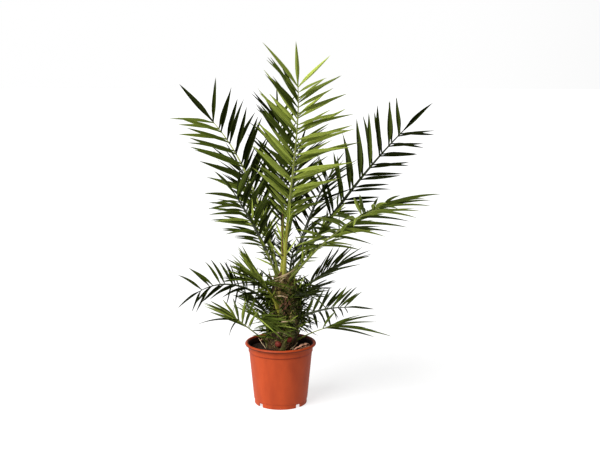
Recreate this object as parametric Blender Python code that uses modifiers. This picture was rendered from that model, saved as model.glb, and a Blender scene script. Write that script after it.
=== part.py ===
"""Potted young date palm: a nursery pot of soil, a short bulbous trunk and feathered fronds.

Metres, +Z up, origin at the centre of the pot's flat underside. The photo's viewer is towards -Y.
"""

import itertools
import math

import bmesh
import bpy
import numpy as np

# Pot, a turned shell
POT_HEIGHT = 0.210
RIM_RADIUS = 0.120
RIM_INNER_RADIUS = 0.1100
LIP_DEPTH = 0.0075
BAND_RADIUS = 0.1085
BAND_DEPTH = 0.0295
BODY_TOP_RADIUS = 0.1063
BODY_BASE_RADIUS = 0.0905
BASE_BAND_HEIGHT = 0.0160
BASE_RADIUS = 0.0885
WALL = 0.0022
FOOT_WIDTH = 0.0035
CHANNEL_HEIGHT = 0.0125
DISC_RADIUS = 0.0560
FLOOR = 0.0030
POT_SIDES = 32
NOTCH_AZIMUTHS = (-138.0, -48.0, 42.0, 132.0)
NOTCH_WIDTH = 0.0180
NOTCH_HEIGHT = 0.0118
NOTCH_DEPTH = 0.024
RIM_ROUND = 0.0030
EDGE_ROUND = 0.0015
STEP_DROP = 0.0012
DISC_SLOPE = 0.0020

# Soil and trunk, turned shapes, with the trunk leaning a little to +X
CLEARANCE = 0.0003
SOIL_EDGE_Z = 0.1850
SOIL_CROWN_Z = 0.1915
SOIL_SHOULDER_RADIUS = 0.066
SOIL_SHOULDER_DROP = 0.0030
SOIL_BROW_RADIUS = 0.088
SOIL_BROW_RISE = 0.0010
TRUNK_SIDES = 24
TRUNK_RADII = (0.034, 0.0465, 0.0465, 0.0430, 0.0395, 0.0370, 0.0355, 0.032, 0.025, 0.014)
TRUNK_HEIGHTS = (0.166, 0.192, 0.220, 0.260, 0.300, 0.345, 0.380, 0.408, 0.430, 0.443)
TRUNK_TOP = 0.447
TRUNK_DOME_Z = 0.42
LEAN_HEIGHTS = (0.192, 0.240, 0.300, 0.355, 0.400, 0.450)
LEAN_OFFSETS = (0.0, 0.007, 0.018, 0.020, 0.013, 0.007)
BOOT_COUNT = 38
BOOT_LOW = 0.205
BOOT_HIGH = 0.405
BOOT_LENGTH = 0.026
BOOT_WIDTH = 0.017
BOOT_TIP_SHARE = 0.55
BOOT_BELOW = 0.4
BOOT_SUNK = 0.0060
BOOT_FOOT_OUT = 0.0010
BOOT_TIP_OUT = 0.0075
BOOT_FREE = 0.019
GOLDEN_ANGLE = 137.5

# Fronds: one row of driving sizes each, lengths in metres and angles in degrees.
# seat, z and r place the foot on the trunk; az is the heading; e0 and e1 the rise at foot and tip;
# roll turns the blade about its rib; bare is the leafless share; n leaflets a side; then leaflet
# length left and right, the tip's share of each, the end leaflet, opening angles, their closing,
# the V angle and the sag.
COLUMNS = (
    "name seat z r length az turn e0 e1 roll "
    "bare n leaf_l leaf_r tip_l tip_r end open_l open_r close vee sag"
)
FRONDS = (
    ("front_high", -80, .425, .014, .675, -33, -62, 87, 55, 0,
     .29, 17, .195, .236, .90, .55, .16, 46, 78, .35, 14, .02),
    ("back_high", 100, .425, .014, .550, 105, 0, 91, 72, 0,
     .32, 14, .135, .165, .80, .80, .11, 36, 42, .14, 14, .02),
    ("left_high", 150, .420, .016, .630, 135, 0, 72, 34, -40,
     .36, 15, .190, .185, .88, .85, .23, 46, 48, .14, 14, .02),
    ("left_mid", 215, .415, .018, .380, 230, 0, 62, 48, 45,
     .36, 12, .142, .155, .74, .90, .13, 50, 48, .14, 14, .14),
    ("right_high", 35, .420, .016, .77, 45, 0, 43, 31, 45,
     .34, 16, .150, .225, .88, .72, .20, 50, 44, .14, 14, .02),
    ("right_mid", -40, .415, .018, .490, -40, 0, 48, 20, -7,
     .34, 15, .19, .20, .85, .90, .15, 82, 68, .72, 2, .12),
    ("left_low", 190, .320, .034, .286, 190, 0, 47, -30, -60,
     .25, 11, .110, .100, .95, .8, .085, 54, 34, -.2, 20, .16),
    ("left_bottom", 200, .205, .040, .19, 225, 0, 37, 38, 40,
     .58, 9, .160, .130, .90, .90, .13, 18, 54, .80, 14, .05),
    ("front_left_low", 240, .314, .034, .155, 205, 0, 66, 38, -62,
     .68, 10, .140, .135, .90, .90, .13, 14, 3, -.9, 6, .05),
    ("right_low_back", 20, .360, .032, .188, 15, 0, 42, 22, 15,
     .30, 11, .142, .130, .90, .90, .12, 34, 33, .45, 14, .03),
    ("right_low", -30, .290, .034, .215, -35, 0, 27, 7, -62,
     .20, 13, .125, .098, .85, .35, .11, 38, 112, .20, 14, .05),
    ("right_bottom", -15, .210, .040, .165, -20, 0, 32, 15, -40,
     .68, 4, .188, .195, 1.0, 1.0, .15, 24, 53, .62, 14, .10),
    ("back_mid", 95, .415, .018, .560, 80, 0, 66, 30, 0,
     .34, 15, .160, .160, .85, .85, .13, 46, 46, .14, 14, .05),
    ("back_left_mid", 140, .400, .024, .460, 125, 0, 68, 40, 0,
     .34, 10, .155, .155, .85, .85, .13, 46, 46, .14, 14, .04),
    ("back_right_mid", 62, .400, .024, .450, 58, 0, 60, 38, 0,
     .34, 10, .150, .150, .85, .85, .13, 46, 46, .14, 14, .04),
    ("back_left_low", 135, .345, .032, .20, 138, 0, 30, -12, 0,
     .30, 9, .105, .105, .80, .80, .10, 50, 50, .14, 18, .05),
    ("back_low", 85, .340, .032, .300, 85, 0, 48, 0, 0,
     .30, 10, .125, .125, .80, .80, .10, 50, 50, .14, 18, .05),
    ("back_right_low", 55, .290, .034, .22, 68, 0, 30, -8, 0,
     .30, 9, .120, .120, .80, .80, .10, 50, 50, .14, 18, .05),
    ("back_bottom", 110, .215, .040, .230, 115, 0, 36, 5, 0,
     .35, 9, .120, .120, .85, .85, .10, 46, 46, .14, 18, .05),
    ("front_bottom", 215, .226, .040, .125, 228, 0, 62, 28, -10,
     .30, 9, .090, .128, .85, .85, .10, 40, 96, .1, 14, .03),
    ("front_right_low", -60, .360, .032, .135, -55, 0, 34, -15, 0,
     .35, 9, .072, .072, .85, .85, .09, 50, 50, .14, 14, .06),
)
SEED = 7
PATH_STEPS = 40
BEND = 1.5
PETIOLE_RADIUS = 0.0060
RIB_MID_RADIUS = 0.0036
RIB_TIP_RADIUS = 0.0013
LARGE_FROND = 0.35
SMALL_FROND_SHARE = 0.70
LEAF_WIDTH_BASE = 0.0020
LEAF_WIDTH_SHARE = 0.045
LEAF_DEPTH_SHARE = 0.016
LEAF_WIDEST = 0.42
LEAF_ROOT_WIDTH = 0.45
LEAF_ROOT_DEPTH = 0.8
LEAF_KEEL_SHARE = 0.6
LEAF_PAIRING = 0.22
PLACE_SPREAD = 0.12
OPEN_SPREAD = 5.0
VEE_SPREAD = 9.0
VEE_STAGGER = 6.0
LENGTH_SPREAD = (0.92, 1.06)
LENGTH_PLACES = (0.0, 0.18, 0.45, 0.75, 1.0)
LENGTH_SHARES = (0.55, 0.86, 1.0)
RIB_PLACES = (0.0, 0.45, 1.0)
FREE_GAP = 0.0008
BODY_GAP = 0.003
TRY_SIZES = (1.0, 0.82, 0.66)
TRY_TURNS = (
    (0, 0), (7, 0), (-7, 0), (0, 10), (0, -10), (13, 6), (-13, -6), (0, 20), (0, -20),
    (18, 14), (-18, 14), (18, -14), (-18, -14),
)

# Colours as linear red, green, blue
TERRACOTTA = (0.56, 0.12, 0.045)
SOIL_BROWN = (0.030, 0.020, 0.014)
TRUNK_BROWN = (0.15, 0.085, 0.035)
FROND_GREEN = (0.085, 0.155, 0.022)


def material(name, colour, roughness):
    made = bpy.data.materials.new(name)
    made.use_nodes = True
    shader = made.node_tree.nodes["Principled BSDF"]
    shader.inputs["Base Color"].default_value = (*colour, 1.0)
    shader.inputs["Roughness"].default_value = roughness
    return made


def new_object(name, vertices, faces, collection):
    mesh = bpy.data.meshes.new(name)
    mesh.from_pydata([tuple(map(float, v)) for v in vertices], [], faces)
    mesh.update()
    made = bpy.data.objects.new(name, mesh)
    collection.objects.link(made)
    return made


def turned(name, profile, sides, collection):
    """A profile of (radius, height) points, top to bottom on its outer side, turned by a Screw."""
    points = [(radius, 0.0, height) for radius, height in profile]
    mesh = bpy.data.meshes.new(name)
    mesh.from_pydata(points, [(i, i + 1) for i in range(len(points) - 1)], [])
    made = bpy.data.objects.new(name, mesh)
    collection.objects.link(made)
    screw = made.modifiers.new("turn", "SCREW")
    screw.steps = sides
    screw.render_steps = sides
    screw.use_merge_vertices = True
    screw.merge_threshold = 0.00005
    return made


def applied(made):
    """The object with its modifiers made part of its mesh."""
    bpy.context.view_layer.update()
    graph = bpy.context.evaluated_depsgraph_get()
    mesh = bpy.data.meshes.new_from_object(made.evaluated_get(graph))
    made.modifiers.clear()
    made.data = mesh
    return made


def boolean(made, operation, collection, solver="EXACT"):
    modifier = made.modifiers.new(operation.lower(), "BOOLEAN")
    modifier.operation = operation
    modifier.operand_type = "COLLECTION"
    modifier.collection = collection
    modifier.solver = solver


def pot_wall_radius(height, inset):
    """The inner wall's radius at a height, less an inset."""
    share = (height - BASE_BAND_HEIGHT) / (POT_HEIGHT - BAND_DEPTH - BASE_BAND_HEIGHT)
    outer = BODY_BASE_RADIUS + (BODY_TOP_RADIUS - BODY_BASE_RADIUS) * min(share, 1.0)
    return outer - WALL - inset


def pot_profile():
    step_z = POT_HEIGHT - BAND_DEPTH
    foot = BASE_RADIUS - EDGE_ROUND
    roof = CHANNEL_HEIGHT + WALL
    return [
        (0.0, FLOOR),
        (DISC_RADIUS - DISC_SLOPE - WALL, FLOOR),
        (DISC_RADIUS - WALL, roof),
        (pot_wall_radius(roof, 0.0), roof),
        (pot_wall_radius(step_z, 0.0), step_z),
        (RIM_INNER_RADIUS - RIM_ROUND, POT_HEIGHT - LIP_DEPTH),
        (RIM_INNER_RADIUS, POT_HEIGHT - EDGE_ROUND),
        (RIM_INNER_RADIUS + EDGE_ROUND, POT_HEIGHT),
        (RIM_RADIUS - RIM_ROUND, POT_HEIGHT),
        (RIM_RADIUS - 0.3 * RIM_ROUND, POT_HEIGHT - 0.4 * RIM_ROUND),
        (RIM_RADIUS, POT_HEIGHT - 1.2 * RIM_ROUND),
        (RIM_RADIUS, POT_HEIGHT - LIP_DEPTH),
        (RIM_RADIUS - RIM_ROUND, POT_HEIGHT - LIP_DEPTH),
        (BAND_RADIUS + EDGE_ROUND, POT_HEIGHT - LIP_DEPTH),
        (BAND_RADIUS, POT_HEIGHT - LIP_DEPTH - EDGE_ROUND),
        (BAND_RADIUS, step_z),
        (BODY_TOP_RADIUS, step_z - STEP_DROP),
        (BODY_BASE_RADIUS, BASE_BAND_HEIGHT + STEP_DROP),
        (BASE_RADIUS, BASE_BAND_HEIGHT),
        (BASE_RADIUS, EDGE_ROUND),
        (foot, 0.0),
        (foot - FOOT_WIDTH, 0.0),
        (foot - FOOT_WIDTH, CHANNEL_HEIGHT),
        (DISC_RADIUS + DISC_SLOPE, CHANNEL_HEIGHT),
        (DISC_RADIUS, 0.0),
        (0.0, 0.0),
    ]


def build_pot(parts, cutters):
    pot = turned("pot", pot_profile(), POT_SIDES, parts)
    for azimuth in NOTCH_AZIMUTHS:
        bpy.ops.mesh.primitive_cube_add(size=1.0)
        notch = bpy.context.object
        notch.name = f"notch_{int(azimuth) % 360}"
        turn = math.radians(azimuth)
        notch.scale = (NOTCH_DEPTH, NOTCH_WIDTH, 2.0 * NOTCH_HEIGHT)
        notch.rotation_euler = (0.0, 0.0, turn)
        notch.location = (BASE_RADIUS * math.cos(turn), BASE_RADIUS * math.sin(turn), 0.0)
        for holder in notch.users_collection:
            holder.objects.unlink(notch)
        cutters.objects.link(notch)
        notch.hide_render = True
        notch.display_type = "WIRE"
    boolean(pot, "DIFFERENCE", cutters)
    pot.data.materials.append(material("terracotta_plastic", TERRACOTTA, 0.42))
    return pot


def trunk_radius(height):
    return float(np.interp(height, TRUNK_HEIGHTS, TRUNK_RADII))


def lean(height):
    """How far the trunk's axis stands to +X of the pot's at a height."""
    return np.interp(height, LEAN_HEIGHTS, LEAN_OFFSETS)


def leaned(made):
    """Shifts each level of a turned trunk to its leaning axis."""
    for vertex in made.data.vertices:
        vertex.co.x += float(lean(vertex.co.z))
    return made


def trunk_profile(grown):
    points = [(0.0, TRUNK_TOP + grown)]
    for radius, height in reversed(list(zip(TRUNK_RADII, TRUNK_HEIGHTS))):
        points.append((radius + grown, height + (grown if height > TRUNK_DOME_Z else 0.0)))
    points.append((TRUNK_RADII[0] + grown, TRUNK_HEIGHTS[0] - grown))
    points.append((0.0, TRUNK_HEIGHTS[0] - grown))
    return points


def build_soil(parts):
    roof = CHANNEL_HEIGHT + WALL + CLEARANCE
    floor = FLOOR + CLEARANCE
    flat = math.cos(math.pi / POT_SIDES)
    socket = [trunk_radius(z) / flat + CLEARANCE for z in (TRUNK_HEIGHTS[0], SOIL_CROWN_Z)]
    points = [
        (0.0, TRUNK_HEIGHTS[0] - CLEARANCE),
        (socket[0], TRUNK_HEIGHTS[0] - CLEARANCE),
        (socket[1], SOIL_CROWN_Z),
        (SOIL_SHOULDER_RADIUS, SOIL_CROWN_Z - SOIL_SHOULDER_DROP),
        (SOIL_BROW_RADIUS, SOIL_EDGE_Z + SOIL_BROW_RISE),
        (pot_wall_radius(POT_HEIGHT, CLEARANCE), SOIL_EDGE_Z),
        (pot_wall_radius(POT_HEIGHT - BAND_DEPTH, CLEARANCE), POT_HEIGHT - BAND_DEPTH),
        (pot_wall_radius(roof, CLEARANCE), roof),
        (DISC_RADIUS - WALL - CLEARANCE, roof),
        (DISC_RADIUS - DISC_SLOPE - WALL - CLEARANCE, floor),
        (0.0, floor),
    ]
    soil = turned("soil", points, POT_SIDES, parts)
    soil.data.materials.append(material("moist_peat_soil", SOIL_BROWN, 0.95))
    return soil


def frond_row(values):
    return dict(zip(COLUMNS.split(), values))


def frond_path(row):
    """The rib as points: its rise falls from e0 to e1 as the share run, to the power BEND."""
    share = (np.arange(PATH_STEPS) + 0.5) / PATH_STEPS
    rise = np.radians(row["e0"] + (row["e1"] - row["e0"]) * share**BEND)
    heading = np.radians(row["az"] + row["turn"] * share)
    steps = np.stack([np.cos(rise) * np.cos(heading), np.cos(rise) * np.sin(heading), np.sin(rise)], 1)
    seat = math.radians(row["seat"])
    axis = float(lean(row["z"]))
    foot = np.array([axis + row["r"] * math.cos(seat), row["r"] * math.sin(seat), row["z"]])
    return np.vstack([foot, foot + np.cumsum(steps, 0) * row["length"] / PATH_STEPS])


def along(points, share):
    place = np.atleast_1d(share) * (len(points) - 1)
    low = np.clip(place.astype(int), 0, len(points) - 2)
    rest = (place - low)[:, None]
    return points[low] * (1.0 - rest) + points[low + 1] * rest


def rib_radius(row, share):
    size = 1.0 if row["length"] > LARGE_FROND else SMALL_FROND_SHARE
    radii = (PETIOLE_RADIUS, RIB_MID_RADIUS, RIB_TIP_RADIUS)
    return size * np.interp(share, RIB_PLACES, radii)


def blade_axes(row, points, share):
    """The rib's heading, the blade's side and its upper normal at each share, after the roll."""
    ahead = along(points, np.clip(share + 0.01, 0, 1)) - along(points, np.clip(share - 0.01, 0, 1))
    ahead /= np.linalg.norm(ahead, axis=1)[:, None]
    up = np.array([0.0, 0.0, 1.0])
    normal = up - ahead * (ahead @ up)[:, None]
    normal /= np.linalg.norm(normal, axis=1)[:, None]
    side = np.cross(ahead, normal)
    roll = math.radians(row["roll"])
    turned_normal = normal * math.cos(roll) + side * math.sin(roll)
    turned_side = side * math.cos(roll) - normal * math.sin(roll)
    return ahead, turned_side, turned_normal


def leaf_line(leaf, share):
    """A leaflet's midline: straight on its heading, less a sag growing as the square of the way out."""
    share = np.atleast_1d(share)[:, None]
    drop = np.array([0.0, 0.0, leaf["sag"] * leaf["length"]])
    return leaf["root"] + leaf["heading"] * leaf["length"] * share - drop * share**2


def leaflets(row, number):
    """Leaflets in pairs up both sides of the rib, with seeded spread, and one at its tip."""
    random = np.random.RandomState(SEED * 1000 + number)
    points = frond_path(row)
    count = row["n"]
    made = []
    for side, key in ((1, "l"), (-1, "r")):
        k = np.arange(count)
        stagger = np.where(k % 2 == 0, 1.0, -1.0)
        moved = LEAF_PAIRING * stagger + random.uniform(-PLACE_SPREAD, PLACE_SPREAD, count)
        u = (k + 0.5 + moved) / count
        share = row["bare"] + (1.0 - row["bare"]) * np.clip(u, 0.01, 0.985)
        ahead, across, normal = blade_axes(row, points, share)
        spread = row["open_" + key] * (1.04 - row["close"] * u**2)
        spread = spread + random.uniform(-OPEN_SPREAD, OPEN_SPREAD, count)
        vee = row["vee"] + random.uniform(-VEE_SPREAD, VEE_SPREAD, count) + VEE_STAGGER * stagger
        tip = row["tip_" + key]
        shares = (*LENGTH_SHARES, 0.35 + 0.65 * tip, tip)
        length = row["leaf_" + key] * np.interp(u, LENGTH_PLACES, shares)
        length = length * random.uniform(*LENGTH_SPREAD, count)
        roots = along(points, share)
        for j in range(count):
            made.append({
                "root": roots[j], "ahead": ahead[j], "across": side * across[j], "normal": normal[j],
                "spread": spread[j], "vee": vee[j], "length": length[j], "sag": row["sag"],
            })
    ahead, across, normal = blade_axes(row, points, np.array([0.999]))
    made.append({
        "root": points[-1], "ahead": ahead[0], "across": across[0], "normal": normal[0],
        "spread": 0.0, "vee": 0.0, "length": row["end"], "sag": row["sag"],
    })
    return made


def aimed(leaf, more_spread, more_vee, size):
    """The leaflet with its heading worked out, opened or raised a little more and shortened."""
    spread = math.radians(leaf["spread"] + more_spread)
    vee = math.radians(leaf["vee"] + more_vee)
    outward = leaf["across"] * math.cos(vee) + leaf["normal"] * math.sin(vee)
    made = dict(leaf)
    made["heading"] = leaf["ahead"] * math.cos(spread) + outward * math.sin(spread)
    made["length"] = leaf["length"] * size
    made["width"] = LEAF_WIDTH_BASE + LEAF_WIDTH_SHARE * made["length"]
    return made


def segment_gaps(start, end, starts, ends):
    """Distance from one segment to each of many, from the closest points of their lines, clamped."""
    run = end - start
    runs = ends - starts
    between = start - starts
    a = run @ run
    e = np.maximum(np.sum(runs * runs, 1), 1e-12)
    b = runs @ run
    c = between @ run
    f = np.sum(runs * between, 1)
    spread = np.maximum(a * e - b * b, 1e-12)
    s = np.clip((b * f - c * e) / spread, 0, 1)
    t = np.clip((b * s + f) / e, 0, 1)
    s = np.clip((b * t - c) / a, 0, 1)
    apart = (start + run * s[:, None]) - (starts + runs * t[:, None])
    return np.linalg.norm(apart, axis=1)


def leaf_segments(leaf):
    line = leaf_line(leaf, (0.0, 0.35, 0.7, 1.0))
    half = leaf["width"] * np.array([0.42, 0.50, 0.30])
    return line[:-1], line[1:], half


def clear_of_body(leaf):
    """Whether a leaflet stays off the trunk and above or outside the pot's rim."""
    line = leaf_line(leaf, np.linspace(0.15, 1.0, 12))
    half = 0.5 * leaf["width"]
    off_pot = np.hypot(line[:, 0], line[:, 1])
    off_trunk = np.hypot(line[:, 0] - lean(line[:, 2]), line[:, 1])
    trunk = np.interp(line[:, 2], TRUNK_HEIGHTS, TRUNK_RADII)
    in_trunk = (line[:, 2] < TRUNK_TOP + half) & (off_trunk < trunk + half + BODY_GAP)
    in_pot = (line[:, 2] < POT_HEIGHT + half + BODY_GAP) & (off_pot < RIM_RADIUS + half + BODY_GAP)
    return not (in_trunk.any() or in_pot.any())


def placed_leaflets():
    """Every frond's leaflets, each kept to its own space: one that finds no free turn is left out."""
    rows = [frond_row(values) for values in FRONDS]
    starts = []
    ends = []
    halves = []
    owners = []
    for number, row in enumerate(rows):
        points = frond_path(row)[::2]
        share = np.linspace(0, 1, len(points))
        starts.append(points[:-1])
        ends.append(points[1:])
        halves.append(rib_radius(row, share[:-1]))
        owners.append(np.full(len(points) - 1, number))
    starts = np.vstack(starts)
    ends = np.vstack(ends)
    halves = np.concatenate(halves)
    owners = np.concatenate(owners)
    kept = []
    for number, row in enumerate(rows):
        mine = []
        for leaf in leaflets(row, number):
            others = owners != number
            for size, turn in itertools.product(TRY_SIZES, TRY_TURNS):
                trial = aimed(leaf, *turn, size)
                if not clear_of_body(trial):
                    continue
                a, b, half = leaf_segments(trial)
                room = FREE_GAP + halves[others]
                if all(
                    (segment_gaps(start, end, starts[others], ends[others]) > room + wide).all()
                    for start, end, wide in zip(a, b, half)
                ):
                    mine.append(trial)
                    break
        kept.append(mine)
        for leaf in mine:
            a, b, half = leaf_segments(leaf)
            starts = np.vstack([starts, a])
            ends = np.vstack([ends, b])
            halves = np.concatenate([halves, half])
            owners = np.concatenate([owners, np.full(len(a), number)])
    return rows, kept


def leaf_solid(name, leaf, collection):
    """A folded blade: a small triangle at the root, the widest one part way out, and a point."""
    depth = LEAF_DEPTH_SHARE * leaf["length"]
    ahead = leaf["heading"]
    across = np.cross(leaf["normal"], ahead)
    across /= np.linalg.norm(across)
    upper = np.cross(ahead, across)
    root, ring, tip = leaf_line(leaf, (0.0, LEAF_WIDEST, 1.0))
    points = []
    for centre, width, thick in ((root, LEAF_ROOT_WIDTH, LEAF_ROOT_DEPTH), (ring, 1.0, 1.0)):
        half = 0.5 * width * leaf["width"]
        keel = LEAF_KEEL_SHARE * thick * depth
        edge = thick * depth - keel
        points.append(centre + across * half + upper * edge)
        points.append(centre - across * half + upper * edge)
        points.append(centre - upper * keel)
    points.append(tip)
    faces = [(0, 1, 2), (0, 3, 4, 1), (1, 4, 5, 2), (2, 5, 3, 0), (3, 6, 4), (4, 6, 5), (5, 6, 3)]
    made = new_object(name, points, faces, collection)
    mesh = bmesh.new()
    mesh.from_mesh(made.data)
    bmesh.ops.recalc_face_normals(mesh, faces=mesh.faces)
    mesh.to_mesh(made.data)
    mesh.free()
    return made


def rib_solid(name, row, collection):
    """The petiole and rib: a curve with a tapering bevel, made into a closed mesh."""
    points = frond_path(row)[::5]
    share = np.linspace(0, 1, len(points))
    curve = bpy.data.curves.new(name, "CURVE")
    curve.dimensions = "3D"
    curve.bevel_depth = 1.0
    curve.bevel_resolution = 0
    curve.use_fill_caps = True
    spline = curve.splines.new("POLY")
    spline.points.add(len(points) - 1)
    for target, place, radius in zip(spline.points, points, rib_radius(row, share)):
        target.co = (*map(float, place), 1.0)
        target.radius = float(radius)
    made = bpy.data.objects.new(name, curve)
    collection.objects.link(made)
    bpy.context.view_layer.update()
    graph = bpy.context.evaluated_depsgraph_get()
    mesh = bpy.data.meshes.new_from_object(made.evaluated_get(graph))
    mesh.transform(made.matrix_world)
    bpy.data.objects.remove(made)
    bpy.data.curves.remove(curve)
    clean = bmesh.new()
    clean.from_mesh(mesh)
    bmesh.ops.remove_doubles(clean, verts=clean.verts, dist=1e-6)
    bmesh.ops.recalc_face_normals(clean, faces=clean.faces)
    clean.to_mesh(mesh)
    clean.free()
    solid = bpy.data.objects.new(name, mesh)
    collection.objects.link(solid)
    return solid


def keep_largest(made):
    """Drops loose scraps and sealed hollows: only the shell of largest volume stays."""
    mesh = bmesh.new()
    mesh.from_mesh(made.data)
    bmesh.ops.triangulate(mesh, faces=mesh.faces)
    mesh.verts.ensure_lookup_table()
    seen = set()
    shells = []
    for start in mesh.verts:
        if start.index in seen:
            continue
        shell = [start]
        seen.add(start.index)
        for vertex in shell:
            for edge in vertex.link_edges:
                other = edge.other_vert(vertex)
                if other.index not in seen:
                    seen.add(other.index)
                    shell.append(other)
        faces = {face for vertex in shell for face in vertex.link_faces}
        volume = sum(f.verts[0].co.dot(f.verts[1].co.cross(f.verts[2].co)) for f in faces)
        shells.append((volume, shell))
    shells.sort(key=lambda pair: -pair[0])
    loose = [vertex for _, shell in shells[1:] for vertex in shell]
    bmesh.ops.delete(mesh, geom=loose, context="VERTS")
    mesh.to_mesh(made.data)
    mesh.free()


def emptied(collection):
    for member in list(collection.objects):
        bpy.data.objects.remove(member)


def boot_places(ribs):
    """Old leaf bases in a golden-angle spiral, left out where a petiole passes."""
    places = []
    for k in range(BOOT_COUNT):
        height = BOOT_LOW + (BOOT_HIGH - BOOT_LOW) * (k + 0.5) / BOOT_COUNT
        turn = math.radians(GOLDEN_ANGLE * k)
        radius = trunk_radius(height)
        axis = float(lean(height))
        centre = np.array([axis + radius * math.cos(turn), radius * math.sin(turn), height])
        outward = np.array([math.cos(turn), math.sin(turn), 0.0])
        tip = centre + outward * BOOT_TIP_OUT + np.array([0, 0, BOOT_LENGTH * (1.0 - BOOT_BELOW)])
        nearest = min(np.linalg.norm(rib - q, axis=1).min() for rib in ribs for q in (centre, tip))
        if nearest > BOOT_FREE:
            places.append((centre, outward, turn, k))
    return places


def build_trunk(parts, work):
    trunk = turned("trunk", trunk_profile(0.0), TRUNK_SIDES, parts)
    leaned(applied(trunk))
    ribs = [frond_path(frond_row(values)) for values in FRONDS]
    for centre, outward, turn, k in boot_places(ribs):
        across = np.array([-math.sin(turn), math.cos(turn), 0.0])
        up = np.array([0.0, 0.0, 1.0])
        foot = centre - up * BOOT_LENGTH * BOOT_BELOW
        tip = centre + up * BOOT_LENGTH * (1.0 - BOOT_BELOW)
        ends = ((foot, BOOT_FOOT_OUT, BOOT_WIDTH), (tip, BOOT_TIP_OUT, BOOT_WIDTH * BOOT_TIP_SHARE))
        points = []
        for place, out, width in ends:
            for depth in (-BOOT_SUNK, out):
                for side in (-0.5, 0.5):
                    points.append(place + outward * depth + across * side * width)
        faces = [(0, 1, 3, 2), (4, 6, 7, 5), (0, 4, 5, 1), (2, 3, 7, 6), (0, 2, 6, 4), (1, 5, 7, 3)]
        boot = new_object(f"boot_{k}", points, faces, work)
        mesh = bmesh.new()
        mesh.from_mesh(boot.data)
        bmesh.ops.recalc_face_normals(mesh, faces=mesh.faces)
        mesh.to_mesh(boot.data)
        mesh.free()
    boolean(trunk, "UNION", work, "MANIFOLD")
    applied(trunk)
    emptied(work)
    keep_largest(trunk)
    trunk.data.materials.clear()
    trunk.data.materials.append(material("fibrous_trunk", TRUNK_BROWN, 0.9))
    return trunk


def build_frond(row, leaves, parts, work, socket, green):
    name = "frond_" + row["name"]
    frond = rib_solid(name, row, parts)
    for k, leaf in enumerate(leaves):
        leaf_solid(f"leaflet_{k}", leaf, work)
    boolean(frond, "UNION", work, "MANIFOLD")
    applied(frond)
    emptied(work)
    boolean(frond, "DIFFERENCE", socket, "MANIFOLD")
    applied(frond)
    keep_largest(frond)
    frond.data.materials.clear()
    frond.data.materials.append(green)
    return frond


def main():
    for made in list(bpy.data.objects):
        bpy.data.objects.remove(made)
    scene = bpy.context.scene.collection
    parts = bpy.data.collections.new("potted_date_palm")
    cutters = bpy.data.collections.new("cutters")
    work = bpy.data.collections.new("work")
    socket = bpy.data.collections.new("socket")
    for collection in (parts, cutters, work, socket):
        scene.children.link(collection)
    build_pot(parts, cutters)
    build_soil(parts)
    build_trunk(parts, work)
    grown = turned("trunk_clearance", trunk_profile(CLEARANCE * 1.3), TRUNK_SIDES, socket)
    leaned(applied(grown))
    grown.hide_render = True
    grown.display_type = "WIRE"
    rows, kept = placed_leaflets()
    for row, leaves in zip(rows, kept):
        green = material("leaf_" + row["name"], FROND_GREEN, 0.5)
        build_frond(row, leaves, parts, work, socket, green)
    emptied(socket)
    wanted = sum(2 * row["n"] + 1 for row in rows)
    print("leaflets", sum(map(len, kept)), "of", wanted, [len(leaves) for leaves in kept])


main()
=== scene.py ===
"""Looks of the potted young date palm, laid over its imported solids.

Metres, +Z up, origin at the centre of the pot's flat underside. The photo's viewer is towards -Y.
The palm's leaflets grow by the same seeded rule as the solids, and are carried to finer ones.
"""

import itertools
import math

import bpy
import numpy as np
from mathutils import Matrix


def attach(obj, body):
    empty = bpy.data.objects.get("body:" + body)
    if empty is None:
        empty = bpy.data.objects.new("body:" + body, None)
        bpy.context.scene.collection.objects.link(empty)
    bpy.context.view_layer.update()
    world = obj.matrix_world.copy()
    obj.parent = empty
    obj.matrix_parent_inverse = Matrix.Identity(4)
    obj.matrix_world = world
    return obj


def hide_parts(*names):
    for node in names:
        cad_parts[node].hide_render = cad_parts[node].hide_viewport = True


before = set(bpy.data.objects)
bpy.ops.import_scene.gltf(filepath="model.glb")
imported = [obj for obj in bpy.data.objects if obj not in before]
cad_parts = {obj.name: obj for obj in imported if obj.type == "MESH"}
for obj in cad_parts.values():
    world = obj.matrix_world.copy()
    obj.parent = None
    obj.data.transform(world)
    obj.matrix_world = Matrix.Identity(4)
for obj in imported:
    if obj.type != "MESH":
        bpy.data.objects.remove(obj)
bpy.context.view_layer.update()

bl_info = {
    "name": "Potted date palm",
    "version": (1, 0, 0),
    "blender": (4, 5, 0),
    "location": "View3D > Sidebar > Palm",
    "description": "Builds a potted young date palm: pot, soil, fibrous trunk and feathered fronds",
    "category": "Object",
}

# Shared values: a millimetre, the way up, and black
MM = 0.001
UP = np.array([0.0, 0.0, 1.0])
BLACK = (0.0, 0.0, 0.0)

# Pot, as a turned shell
POT_HEIGHT = 0.210
RIM_RADIUS = 0.120
RIM_INNER_RADIUS = 0.1100
LIP_DEPTH = 0.0075
BAND_RADIUS = 0.1085
BAND_DEPTH = 0.0295
BODY_TOP_RADIUS = 0.1063
BODY_BASE_RADIUS = 0.0905
BASE_BAND_HEIGHT = 0.0160
BASE_RADIUS = 0.0885
WALL = 0.0022
FOOT_WIDTH = 0.0035
CHANNEL_HEIGHT = 0.0125
DISC_RADIUS = 0.0560
FLOOR = 0.0030
NOTCH_AZIMUTHS = (-138.0, -48.0, 42.0, 132.0)
NOTCH_WIDTH = 0.0180
NOTCH_HEIGHT = 0.0118
POT_SIDES = 144
EDGE_ROUND = 0.0015
EDGE_STEPS = 4
FINE_ROUND = 0.0006
POT_MIDDLE = 0.0004

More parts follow.
